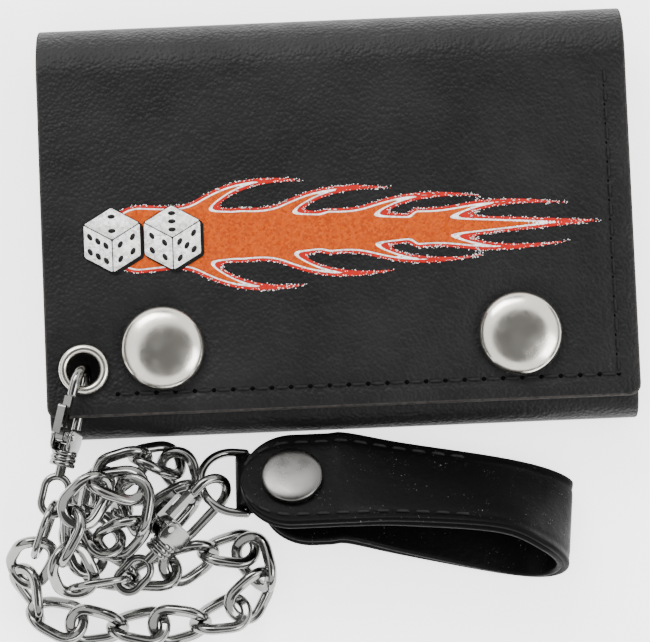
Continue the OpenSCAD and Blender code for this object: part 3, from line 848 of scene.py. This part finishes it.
def window_frame():
    """A leather frame with rolled edges, sewn to the flap's lining round the window."""
    low, high = (np.array(c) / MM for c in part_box("id_window_frame"))
    middle_down = (TOP_Y - (low[1] + high[1]) / 2) / math.cos(SLOPE)
    tall = (high[1] - low[1]) / math.cos(SLOPE)
    top = -LEATHER_T - LINING_T - FRAME_GAP

    def under_flap(x, y, lift):
        return FLAP_START + [x, 0, 0] + (middle_down - y) * FLAP_DOWN + (top + lift) * FLAP_UP

    rings = []
    for width, height, way in ((high[0] - low[0], tall, 1), (WINDOW_W, WINDOW_H, -1)):
        for k in range(RIM_STEPS * 2 + 1):
            a = math.pi * k / (RIM_STEPS * 2)
            inset = way * FRAME_ROLL * (1 - math.sin(a))
            rings.append((width, height, inset, -POCKET_T / 2 * (1 - way * math.cos(a))))
    points = []
    for width, height, inset, lift in rings:
        outline = rounded_outline(width, height, FRAME_CORNER_R, inset)
        points.extend(under_flap(x, y, lift) for x, y in outline)
    n = len(rings)
    count = len(points) // n
    made = piece("window_frame", points, ring_faces(n, count), [LINING])
    settle(made, "flap", "lining_leather", "id_window_frame")
    parts = Parts()
    seam = np.array(rounded_outline(WINDOW_W + 2 * WINDOW_SEAM_OUT, WINDOW_H + 2 * WINDOW_SEAM_OUT,
                                    FRAME_CORNER_R))
    seam = np.concatenate([seam, seam[:1]])

    def at(s, lift):
        x, y = along(seam, [s])[0]
        return under_flap(x, y, -POCKET_T - lift)

    stitch_row(parts, at, distances(seam)[-1])
    settle(parts.piece("window_stitches", THREAD), "flap", "thread")


window_frame()


# ---- Stitches along the flap's side and bottom ----
SHADE_DISC_R = 0.42
SHADE_DISC_HALF_T = 0.03
SEAM_LIFT = 0.06
SEAM_TOP_GAP = 3
SEAM_EYELET_GAP = 6


def awl_hole_shades(parts, at, length):
    """Flat near-black discs of painted shade where the thread goes down into its awl hole, one at each end of
    a stitch.
    """
    count = int(length / STITCH_PITCH)
    turns = np.linspace(0, 2 * math.pi, 12, endpoint=False)
    for i in range(count + 1):
        s = i * length / count
        points = [at(s + SHADE_DISC_R * math.cos(a), SHADE_DISC_R * math.sin(a), lift)
                  for lift in (SHADE_DISC_HALF_T, -SHADE_DISC_HALF_T) for a in turns]
        parts.add(points, rod_faces(2, 12))


def flap_stitches():
    side_x = WALLET_W / 2 - STITCH_INSET
    bottom_y = FLAP_EDGE_Y + STITCH_INSET
    seams = [
        (lambda s, out, lift: on_flap(side_x + out, bottom_y + s, lift), TOP_Y - SEAM_TOP_GAP - bottom_y),
        (lambda s, out, lift: on_flap(side_x - s, bottom_y + out, lift), side_x - EYELET_X - SEAM_EYELET_GAP),
    ]
    parts = Parts()
    hole_shades = Parts()
    for at, length in seams:
        stitch_row(parts, lambda s, lift: at(s, 0, lift + SEAM_LIFT), length)
        # Painted shade: a dark disc at each awl hole.
        awl_hole_shades(hole_shades, at, length)
    settle(parts.piece("flap_stitches", THREAD), "flap", "thread", "flap_stitching")
    settle(hole_shades.piece("flap_awl_shade_discs", HOLE_SHADE), "flap", "thread")


flap_stitches()


# ---- Printed picture: a plain mirrored row of flame licks with two plain dice at its root ----
FLAME_Y = -3.0
FLAME_ROOT_X = -36.0
FLAME_TIP_X = 48.0
LICK_PAIRS = 4
LICK_STEP = 16.0
LICK_LENGTH = 27.0
LICK_START = 3
LICK_SWEEP = 9
LICK_OFF = 2
FIRST_LICK_OUT = 11.5
LATER_LICK_IN = 2
MIDDLE_R = 6.2
FIRST_LICK_R = 2.8
LATER_LICK_THINNER = 0.4
TIP_R = 0.15


def flame_strokes():
    """A straight middle lick with mirrored pairs along it, each pair smaller and nearer the middle."""
    middle = [(FLAME_ROOT_X, 0), (-10, 0), (20, 0), (FLAME_TIP_X, 0)]
    strokes = [(middle, MIDDLE_R)]
    for k in range(LICK_PAIRS):
        x = FLAME_ROOT_X + LICK_START + LICK_STEP * k
        out = FIRST_LICK_OUT - LATER_LICK_IN * k
        radius = FIRST_LICK_R - LATER_LICK_THINNER * k
        for side in (1, -1):
            lick = [(x, LICK_OFF * side), (x + LICK_SWEEP, LICK_OFF * side), (x + LICK_SWEEP, out * side),
                    (x + LICK_LENGTH, (out - 2) * side)]
            strokes.append((lick, radius))
    return [([(x, FLAME_Y + y) for x, y in line], radius, TIP_R) for line, radius in strokes]


FLAMES = flame_strokes()
PRINT_CELL = 0.3
ROUNDING = 1.5
RED_EDGE = 0.5
WHITE_EDGE = 0.27


def stroke_distance(x, y, stroke):
    """Signed distance to a curved stroke that tapers from one radius to another."""
    (p0, p1, p2, p3), r0, r1 = stroke
    line = np.concatenate([bezier(p0, p1, p2, p3, 120), [p3]])
    radii = r1 + (r0 - r1) * (1 - np.linspace(0, 1, len(line)))
    away = np.full(x.shape, 1e9)
    for (px, py), r in zip(line, radii):
        away = np.minimum(away, np.hypot(x - px, y - py) - r)
    return away


def flame_distance(x, y):
    away = stroke_distance(x, y, FLAMES[0])
    for stroke in FLAMES[1:]:
        other = stroke_distance(x, y, stroke)
        mix = np.clip(0.5 + 0.5 * (other - away) / ROUNDING, 0, 1)
        away = other + (away - other) * mix - ROUNDING * mix * (1 - mix)
    return away


def filled(values, xs, ys):
    """Points and faces of the region where values on a grid are below zero."""
    found = {}
    points = []

    def point(key, x, y):
        if key not in found:
            found[key] = len(points)
            points.append((x, y))
        return found[key]

    faces = []
    corners = ((0, 0), (1, 0), (1, 1), (0, 1))
    lowest = np.minimum(np.minimum(values[:-1, :-1], values[1:, :-1]),
                        np.minimum(values[1:, 1:], values[:-1, 1:]))
    for i, j in np.argwhere(lowest < 0):
        outline = []
        for k in range(4):
            a = (i + corners[k][0], j + corners[k][1])
            b = (i + corners[(k + 1) % 4][0], j + corners[(k + 1) % 4][1])
            va, vb = values[a], values[b]
            if va < 0:
                outline.append(point((a, a), xs[a[0]], ys[a[1]]))
            if (va < 0) != (vb < 0):
                t = va / (va - vb)
                x = xs[a[0]] + t * (xs[b[0]] - xs[a[0]])
                y = ys[a[1]] + t * (ys[b[1]] - ys[a[1]])
                outline.append(point((min(a, b), max(a, b)), x, y))
        if len(outline) > 2:
            faces.append(tuple(outline))
    return points, faces


INK_T = 0.05


def inked(name, outlines, height, mat, slot_name):
    """A thin layer of print. outlines is (points, faces), with points in the wallet's x and y."""
    points, faces = outlines
    made = piece(name, [on_flap(x, y, height) for x, y in points], faces, [mat])
    bm = bmesh.new()
    bm.from_mesh(made.data)
    bmesh.ops.reverse_faces(bm, faces=[f for f in bm.faces if f.normal.z < 0])
    bm.to_mesh(made.data)
    bm.free()
    solid = made.modifiers.new("thickness", "SOLIDIFY")
    solid.thickness = MM * INK_T
    solid.offset = -1
    settle(made, "flap", slot_name)


SPARKS = 1500
SPARK_BAND = 0.16


def sparkle(away, xs, ys):
    """Small flakes of glitter scattered along the printed edge."""
    near = np.argwhere(np.abs(away + 0.05) < SPARK_BAND)
    drawn = random.Random(7)
    points, faces = [], []
    for _ in range(SPARKS):
        i, j = near[drawn.randrange(len(near))]
        x = xs[i] + drawn.uniform(-0.5, 0.5) * PRINT_CELL
        y = ys[j] + drawn.uniform(-0.5, 0.5) * PRINT_CELL
        r = drawn.uniform(0.06, 0.15)
        turn = drawn.uniform(0, math.pi)
        start = len(points)
        for k in range(4):
            a = turn + math.pi / 2 * k
            points.append((x + r * math.cos(a), y + r * drawn.uniform(0.6, 1) * math.sin(a)))
        faces.append(tuple(range(start, start + 4)))
    return points, faces


def flames():
    xs = np.arange(-47, 51, PRINT_CELL)
    ys = np.arange(-16, 11, PRINT_CELL)
    gx, gy = np.meshgrid(xs, ys, indexing="ij")
    away = flame_distance(gx, gy)
    inked("flame_border", filled(away, xs, ys), 0.05, RED, "flame_orange")
    inked("flame_line", filled(away + RED_EDGE, xs, ys), 0.09, WHITE, "dice_white")
    inked("flame_fill", filled(away + RED_EDGE + WHITE_EDGE, xs, ys), 0.13, ORANGE, "flame_orange")
    inked("flame_sparkle", sparkle(away, xs, ys), 0.17, WHITE, "dice_white")


flames()

DIE_SIDE = 6.0
SIN_60 = 0.866
DIE_EDGES = [(-SIN_60 * DIE_SIDE, 0.5 * DIE_SIDE), (SIN_60 * DIE_SIDE, 0.5 * DIE_SIDE), (0, -DIE_SIDE)]
DICE = [
    ((-41.0, FLAME_Y), *DIE_EDGES, (2, 4, 6)),
    ((-30.0, FLAME_Y), *DIE_EDGES, (3, 5, 4)),
]
DIE_SHADE = (0.45, -0.4)
PIPS = {
    2: ((0.28, 0.28), (0.72, 0.72)),
    3: ((0.25, 0.25), (0.5, 0.5), (0.75, 0.75)),
    4: ((0.28, 0.28), (0.28, 0.72), (0.72, 0.28), (0.72, 0.72)),
    5: ((0.25, 0.25), (0.25, 0.75), (0.5, 0.5), (0.75, 0.25), (0.75, 0.75)),
    6: ((0.27, 0.22), (0.27, 0.5), (0.27, 0.78), (0.73, 0.22), (0.73, 0.5), (0.73, 0.78)),
}
PIP_R = 0.095
FACE_INSET = 0.018
FACE_CORNER = 0.05
WHOLE_FACE = 1.02
WHOLE_CORNER = 0.08
DIE_LIFT = 0.12


class Ink:
    """Flat filled outlines for one layer of print."""

    def __init__(self):
        self.points = []
        self.faces = []

    def add(self, outline, middle):
        start = len(self.points)
        self.points.append(middle)
        self.points.extend(outline)
        n = len(outline)
        self.faces.extend((start, start + 1 + k, start + 1 + (k + 1) % n) for k in range(n))


def die(number, corner, edges, counts):
    """A plain die's three faces, drawn from the corner where they meet."""
    corner = np.array(corner)
    edges = [np.array(e) for e in edges]
    shadow, solid, face_ink, pips = Ink(), Ink(), Ink(), Ink()
    side = 1 - 2 * FACE_INSET
    for k in range(3):
        def on_face(u, v):
            return tuple(corner + u * edges[k] + v * edges[(k + 1) % 3])

        middle = on_face(0.5, 0.5)
        whole = [on_face(0.5 + u, 0.5 + v) for u, v in rounded_outline(WHOLE_FACE, WHOLE_FACE, WHOLE_CORNER)]
        solid.add(whole, middle)
        shade = [(x + DIE_SHADE[0], y + DIE_SHADE[1]) for x, y in whole]
        shadow.add(shade, tuple(np.mean(shade, axis=0)))
        inner = [on_face(0.5 + u, 0.5 + v) for u, v in rounded_outline(side, side, FACE_CORNER)]
        face_ink.add(inner, middle)
        for u, v in PIPS[counts[k]]:
            ring = [on_face(u + PIP_R * math.cos(t), v + PIP_R * math.sin(t))
                    for t in np.linspace(0, 2 * math.pi, 24, endpoint=False)]
            pips.add(ring, on_face(u, v))
    step = DIE_LIFT * number
    layers = (("shadow", shadow, 0.19, BLACK, "thread"), ("outline", solid, 0.21, BLACK, "thread"),
              ("faces", face_ink, 0.25, WHITE, "dice_white"), ("pips", pips, 0.30, BLACK, "thread"))
    for word, ink, height, mat, slot_name in layers:
        inked(f"die_{number + 1}_{word}", (ink.points, ink.faces), height + step, mat, slot_name)


for die_number, (die_corner, *die_edges, die_counts) in enumerate(DICE):
    die(die_number, die_corner, die_edges, die_counts)


# ---- Snap caps and eyelet ----
def turned(name, profile, place, mat, replaced, body="flap"):
    """A turned metal fitting, its profile given as for lathe()."""
    points, faces = lathe(profile, place)
    settle(piece(name, points, faces, [mat]), body, "polished_nickel", *replaced)


def cap_profile(r, high, rim, post_r, post_down, fall=0.9):
    """A domed cap, steeper towards its edge, which rolls over and tucks under. A low fall is flatter."""
    dome = [(r * math.sin(t), rim + (high - rim) * math.cos(t)**fall)
            for t in np.linspace(0.002, math.pi / 2, 32)]
    roll = [(r - 0.12 * rim, 0.5 * rim), (r - 0.5 * rim, 0.12 * rim)]
    under = [(r - rim, 0.02), (post_r + 0.4, 0.02), (post_r, 0), (post_r, -post_down),
             (0.01, -post_down)]
    return dome + roll + under


def square_to_flap(x, y):
    """The frame of a fitting set flat on the flap at x, y."""
    flat = relief(x, y)
    return lambda a, b, z: on_flap(x, y, z - flat) + [a, 0, 0] - b * FLAP_DOWN


for side, word in ((-1, "left"), (1, "right")):
    turned(f"cap_{word}", cap_profile(SNAP_R, SNAP_H, 0.5, 1.8, 3.2), square_to_flap(side * SNAP_X, SNAP_Y),
           NICKEL, [f"snap_cap_{word}"])

STRAP_CAP_R = 5.6
STRAP_CAP_H = 2.0


def on_tab(a, b, z):
    """A point in the frame of the belt loop's snap, z up from the middle of the tab."""
    return SNAP_TAB + [a, 0, 0] + b * STRAP_ACROSS + z * STRAP_NORMAL


turned("strap_cap", cap_profile(STRAP_CAP_R, STRAP_CAP_H, 0.45, 1.5, 2.9, fall=0.35),
       lambda a, b, z: on_tab(a, b, z + STRAP_T / 2), SATIN_NICKEL, ["strap_snap_cap"], body="strap_tab")


def eyelet():
    tube_r = (EYELET_RIM_R - EYELET_R) / 2
    ring = arc(EYELET_R + tube_r, 0, tube_r, 0, 180, 20)
    start = (EYELET_RIM_R, -0.1)
    barrel = [(EYELET_R, -1.2), (EYELET_R, -2.5), (EYELET_R + 0.3, -2.5), (EYELET_R + 0.35, -0.3)]
    turned("eyelet_ring", [start] + ring + barrel + [start], square_to_flap(EYELET_X, EYELET_Y), NICKEL,
           ["eyelet"])


eyelet()


# ---- Belt loop: a two-ply strap, split into tab, bend and base pieces where it bends ----
STEPS_PER_SPAN = 16
strap_near = curve(STRAP_STATIONS[:, 0], STEPS_PER_SPAN)
strap_far = curve(STRAP_STATIONS[:, 1], STEPS_PER_SPAN)
strap_middle = (strap_near + strap_far) / 2
STITCH_REACH = 0.8
SEAM_DEPTH = 0.16
SEAM_SHOULDER = 0.06
TAB_HOLE_R = 1.65
BASE_HOLE_R = 1.35
HOLE_REACH = 4
HOLE_SIDES = 32
STRAP_FOLD_UP = np.array([0, 0.36, 0.93])
STRAP_BEND = (-14.3, -12.3)
FULL_WIDTH_RING = 5


def end_share(x, end_x):
    """Share of the strap's half width left at x, where its end is rounded off."""
    gap = min(max((x - end_x) / (STRAP_W / 2), 0), 1)
    return math.sqrt(max(0.012, 1 - (1 - gap)**2))


def strap_section():
    """The strap's cut outline: place across it from -1 to 1, distance in from its edge, and height."""
    half = STRAP_T / 2
    across = [0, 0.25, 0.5, 0.66, 0.74, 0.8, 0.86, 0.93]
    top = []
    for c in across:
        from_seam = abs(c - STITCH_REACH)
        sunk = SEAM_DEPTH if from_seam == 0 else SEAM_SHOULDER if from_seam < 0.08 else 0
        top.append((c, 0, half - sunk))
    edge = []
    for ply in (1, -1):
        for a in (70, 40, 12, -12, -40, -66):
            a = math.radians(a)
            edge.append((1, 0.5 * (1 - math.cos(a)), ply * half / 2 + half / 2 * math.sin(a)))
    right = top + edge
    bottom = [(c, 0, -half) for c in reversed(across)]
    right += bottom
    left = [(-c, d, z) for c, d, z in reversed(right)]
    return right[:-1] + left[:-1]


SECTION = strap_section()


def strap_mesh():
    n = len(strap_middle)
    points = []
    for i in range(n):
        ahead = unit(strap_middle[min(i + 1, n - 1)] - strap_middle[max(i - 1, 0)])
        across = strap_far[i] - strap_near[i]
        half_w = np.linalg.norm(across) / 2
        side = unit(across)
        face = -unit(np.cross(across, ahead))
        end_x = TAB_END_X if i < TAB_SPANS * STEPS_PER_SPAN else BASE_END_X
        if TAB_SPANS * STEPS_PER_SPAN <= i < (TAB_SPANS + BEND_SPANS) * STEPS_PER_SPAN:
            share = 1
        else:
            share = end_share(strap_middle[i][0], end_x)
        for c, inset, height in SECTION:
            reach = share * half_w * abs(c) - inset * min(1, share * 2)
            points.append(strap_middle[i] + math.copysign(reach, c) * side + height * face)
    return points


def strap():
    points = strap_mesh()
    m = len(SECTION)
    n = len(strap_middle)
    faces = grid_faces(n, m, wrap=True)
    whole = piece("strap_whole", points, faces, [STRAP])
    normals = np.array([v.normal[:] for v in whole.data.vertices])
    first = FULL_WIDTH_RING * m
    outward = np.array(points[first]) - np.mean(points[first:first + m], axis=0)
    flip = -1 if normals[first] @ outward < 0 else 1
    bpy.data.objects.remove(whole)
    spans = (0, TAB_SPANS, TAB_SPANS + BEND_SPANS, len(STRAP_STATIONS) - 1)
    made = []
    names = ("strap_tab_leather", "strap_bend_leather", "strap_base_leather")
    for name, start, end in zip(names, spans, spans[1:]):
        a, b = start * STEPS_PER_SPAN, end * STEPS_PER_SPAN
        own = points[a * m:(b + 1) * m]
        obj = piece(name, own, rod_faces(b - a + 1, m), [STRAP])
        obj.data.normals_split_custom_set_from_vertices((flip * normals[a * m:(b + 1) * m]).tolist())
        made.append(obj)
    tab, bend, base = made
    for obj, centre, r in ((tab, SNAP_TAB, TAB_HOLE_R), (base, SNAP_BASE, BASE_HOLE_R)):
        def place(x, y, z):
            return centre + [x, 0, 0] + y * STRAP_ACROSS + z * STRAP_NORMAL

        cut_round(obj, place, r, HOLE_REACH, HOLE_SIDES)
    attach(tab, "strap_tab")
    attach(base, "flap")
    start, end = (tuple(MM * rise * STRAP_FOLD_UP) for rise in STRAP_BEND)
    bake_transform(bend)
    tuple(start)
    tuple(end)
    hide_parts("strap_tab")
    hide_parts("strap_bend")
    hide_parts("strap_base")


strap()


def strap_stitches():
    """Stitches down both sides of the tab and round its end, on its upper face."""
    parts = Parts()
    for side in (-1, 1):
        seam = []
        lifts = []
        for i in range(3, TAB_SPANS * STEPS_PER_SPAN - 4):
            ahead = unit(strap_middle[i + 1] - strap_middle[i - 1])
            face = -unit(np.cross(strap_far[i] - strap_near[i], ahead))
            share = end_share(strap_middle[i][0], TAB_END_X)
            reach = side * STITCH_REACH * share
            half_strap = strap_far[i] - strap_middle[i]
            seam.append(strap_middle[i] + reach * half_strap + (STRAP_T / 2 - 0.1) * face)
            lifts.append(face)
        seam, lifts = np.array(seam), np.array(lifts)
        far = distances(seam)

        def at(s, lift):
            up = np.array([np.interp(s, far, lifts[:, k]) for k in range(3)])
            return along(seam, [s])[0] + lift * up

        stitch_row(parts, at, far[-1])
    settle(parts.piece("strap_stitches", THREAD), "strap_tab", "thread", "strap_stitching")


strap_stitches()


# ---- CAD pieces that keep their own shape ----
def finish_node(node, mat, bevel=0.0):
    obj = bpy.data.objects[node]
    for material_slot in obj.material_slots:
        material_slot.material = mat
    if bevel:
        joined = obj.modifiers.new("joined", "WELD")
        joined.merge_threshold = 1e-6
        made = obj.modifiers.new("soft_edges", "BEVEL")
        made.width = MM * bevel
        made.segments = 3
        made.limit_method = "ANGLE"
        made.angle_limit = math.radians(40)


for node in NODES:
    if "clasp" in node:
        finish_node(node, STEEL if "spring" in node or "pin" in node else CHAIN_STEEL)
    if node.startswith(("snap_socket", "snap_stud", "snap_post", "eyelet_washer", "strap_snap")):
        finish_node(node, STEEL, bevel=0.12)
finish_node("d_ring", CHAIN_STEEL)
finish_node("d_ring_keeper", STRAP, bevel=0.35)
finish_node("id_window", VINYL)

# ---- Clasp bodies: a bent hook, two cheeks and a beaded collar ----
HOOK_LOW = -2.7
HOOK_HIGH = 4.2
HOOK_MID = (HOOK_LOW + HOOK_HIGH) / 2
HOOK_WIRE_R = 0.9
NOSE_X = 3.3
LIP_X = 5
ELBOW_X = 11.2
CHEEK_X = (11.0, 15.4)
CHEEK_Z = (-2.1, 5.2)
CHEEK_Y = (1.25, 1.85)
COLLAR_X = (15.0, 18.0)
COLLAR_R = 2.4
COLLAR_BORE_R = 1.02
COLLAR_BEADS = 3
BEAD_RISE = 0.35
BAR_END = (COLLAR_X[0] + 0.4, 0, HOOK_MID - 2.1)
TIP_STEPS = (0.5, 0.42, 0.25)
TIP_RADII = (0.25, 0.6, 0.82)
CHEEK_CORNER_R = 1.9
CHEEK_ROLL = 0.22
WEB_X = (12.2, 13.8)
WEB_Z = (-2.1, -1.3)
WEB_CORNER_R = 0.3
WEB_ROLL = 0.05
WEB_INTO_CHEEK = 0.1
WALLET_CLASP_ROLL = 12
WALLET_CLASP_TURN = -105
BELT_CLASP_ROLL = 40
BELT_CLASP_TURN = -136
BELT_CLASP_PITCH = 3
BELT_CLASP_AT = np.array([-22.4, -47.6, 10.4])


def turn_about(axis, degrees):
    return np.array(Matrix.Rotation(math.radians(degrees), 3, axis))


def on_wallet_clasp(p):
    """The clasp's own frame: x along it from the nose, z from its spine up to its lip."""
    mid = np.array([0, 0, HOOK_MID])
    p = turn_about("X", WALLET_CLASP_ROLL) @ (np.array(p, float) - mid) + mid
    p = turn_about("Z", WALLET_CLASP_TURN) @ p
    down = (TOP_Y - EYELET_Y) / math.cos(SLOPE)
    across = FLAP_START + [EYELET_X + p[0], 0, 0]
    return across + (down - p[1]) * FLAP_DOWN + (p[2] - PANEL_T / 2) * FLAP_UP


def on_belt_clasp(p):
    """The belt clasp's own frame, laid out as the wallet clasp's."""
    p = turn_about("X", BELT_CLASP_ROLL) @ np.array(p, float)
    return BELT_CLASP_AT + turn_about("Z", BELT_CLASP_TURN) @ turn_about("Y", BELT_CLASP_PITCH) @ p


def plate(place, x, y, z, r, round_over):
    """A flat plate with round corners and rolled edges, its broad faces square to y."""
    points = []
    layers = 9
    for k in range(layers):
        a = math.pi * k / (layers - 1)
        inset = round_over * (1 - math.sin(a))
        height = y[0] + (y[1] - y[0]) * (1 - math.cos(a)) / 2
        for u, v in rounded_outline(x[1] - x[0], z[1] - z[0], r, inset):
            points.append(place([(x[0] + x[1]) / 2 + u, height, (z[0] + z[1]) / 2 + v]))
    count = len(points) // layers
    return points, rod_faces(layers, count)


def hook_line():
    """The bent wire's middle line: lip, round nose, straight spine and a bar up to the collar."""
    nose_r = (HOOK_HIGH - HOOK_LOW) / 2
    line = [(LIP_X + step, 0, HOOK_HIGH) for step in (*TIP_STEPS, 0)]
    for a in np.radians(np.linspace(90, 270, 21)):
        line.append((NOSE_X + nose_r * math.cos(a), 0, HOOK_MID + nose_r * math.sin(a)))
    line.extend(bezier((ELBOW_X - 1, 0, HOOK_LOW), (ELBOW_X, 0, HOOK_LOW),
                       (ELBOW_X + 0.6, 0, HOOK_LOW + 0.1), BAR_END, 10))
    line.append(BAR_END)
    return line


def collar_profile():
    """A beaded ring with a bore, turned about the clasp's own axis."""
    bead_r = (COLLAR_X[1] - COLLAR_X[0]) / COLLAR_BEADS / 2
    beads = []
    for k in range(COLLAR_BEADS):
        middle = COLLAR_X[0] + bead_r * (2 * k + 1)
        for a in np.radians(np.linspace(-80, 80, 9)):
            beads.append((COLLAR_R - BEAD_RISE + BEAD_RISE * math.cos(a), middle + bead_r * math.sin(a)))
    start = (COLLAR_BORE_R, COLLAR_X[0])
    return [start] + beads + [(COLLAR_BORE_R, COLLAR_X[1]), start]


def clasp_body(name, place, node):
    parts = Parts()
    line = hook_line()
    radii = [*TIP_RADII] + [HOOK_WIRE_R] * (len(line) - len(TIP_RADII))
    points, faces = tube(line, radii, 18)
    parts.add([place(p) for p in points], faces)
    for side in (-1, 1):
        cheek_y = (side * CHEEK_Y[0], side * CHEEK_Y[1])
        parts.add(*plate(place, CHEEK_X, cheek_y, CHEEK_Z, CHEEK_CORNER_R, CHEEK_ROLL))
    web_y = (-CHEEK_Y[0] - WEB_INTO_CHEEK, CHEEK_Y[0] + WEB_INTO_CHEEK)
    parts.add(*plate(place, WEB_X, web_y, WEB_Z, WEB_CORNER_R, WEB_ROLL))
    parts.add(*lathe(collar_profile(), lambda a, b, z: place([z, a, HOOK_MID + b]), segments=48))
    made = parts.piece(name, CHAIN_STEEL)
    settle(made, "flap", "chain_steel", node)
    return made


wallet_clasp_body = clasp_body("wallet_clasp_body", on_wallet_clasp, "wallet_clasp_hook")
belt_clasp_body = clasp_body("belt_clasp_body", on_belt_clasp, "belt_clasp_hook")

tuple(MM * c for c in CHAIN_ROUTE[0])


# ---- Floor and studio light ----
def floor():
    f = Finish("floor_paper", Specular_IOR_Level=0.2)
    f.colour(f.ramp(f.noise(3), (0.3, (0.88, 0.88, 0.88)), (0.7, (0.91, 0.91, 0.91))))
    f.roughness(f.spread(f.noise(40), 0.75, 0.9))
    f.shader.inputs["Emission Color"].default_value = (1, 1, 1, 1)
    f.shader.inputs["Emission Strength"].default_value = 1.9
    mesh = bpy.data.meshes.new("floor")
    reach = 4.0
    corners = [(-reach, -reach, 0), (reach, -reach, 0), (reach, reach, 0), (-reach, reach, 0)]
    mesh.from_pydata(corners, [], [(0, 1, 2, 3)])
    mesh.materials.append(f.mat)
    made = bpy.data.objects.new("floor", mesh)
    made.location.z = -0.0001
    bpy.context.scene.collection.objects.link(made)


def card(name, centre, size, facing, value, corners=4):
    """A grey card out of the camera's sight, for the metal to reflect. Many corners make it round."""
    mat = bpy.data.materials.new(name)
    mat.use_nodes = True
    mat.node_tree.nodes["Principled BSDF"].inputs["Base Color"].default_value = (value, value, value, 1)
    mesh = bpy.data.meshes.new(name)
    turns = [2 * math.pi * (k + 0.5) / corners for k in range(corners)]
    reach = 0.5 / math.cos(math.pi / corners)
    outline = [(reach * size[0] * math.cos(a), reach * size[1] * math.sin(a), 0) for a in turns]
    mesh.from_pydata(outline, [], [tuple(range(corners))])
    mesh.materials.append(mat)
    made = bpy.data.objects.new(name, mesh)
    made.location = centre
    made.rotation_euler = (Vector(facing) - Vector(centre)).to_track_quat("Z", "Y").to_euler()
    made.visible_camera = False
    made.visible_shadow = False
    made.visible_diffuse = False
    bpy.context.scene.collection.objects.link(made)


def light(name, place, aim, size, power):
    data = bpy.data.lights.new(name, "AREA")
    data.shape = "RECTANGLE"
    data.size, data.size_y = size
    data.energy = power
    made = bpy.data.objects.new(name, data)
    made.location = place
    made.rotation_euler = (Vector(aim) - Vector(place)).to_track_quat("-Z", "Y").to_euler()
    bpy.context.scene.collection.objects.link(made)


def studio():
    world = bpy.data.worlds.new("studio")
    world.use_nodes = True
    world.node_tree.nodes["Background"].inputs["Color"].default_value = (1, 1, 1, 1)
    world.node_tree.nodes["Background"].inputs["Strength"].default_value = 1.9
    bpy.context.scene.world = world
    light("key", (-0.30, 0.80, 0.80), (0, 0, 0), (0.9, 0.35), 12)
    light("fill", (0.7, -0.35, 0.7), (0, 0, 0), (0.5, 0.5), 6)
    card("grey_above", (0.03, -0.10, 0.70), (0.95, 0.85), (0, -0.03, 0), 0.012, corners=48)
    card("grey_behind", (-0.01, 0.60, 0.385), (0.34, 0.26), (-0.01, -0.048, 0.012), 0.05, corners=48)
    card("dark_left", (-0.60, 0.0, 0.16), (1.0, 0.26), (0, 0, 0.05), 0.02)
    card("dark_right", (0.62, 0.0, 0.14), (1.0, 0.22), (0, 0, 0.05), 0.03)
    card("dark_front", (0.0, -0.62, 0.12), (1.1, 0.2), (0, 0, 0.05), 0.03)
    floor()


studio()
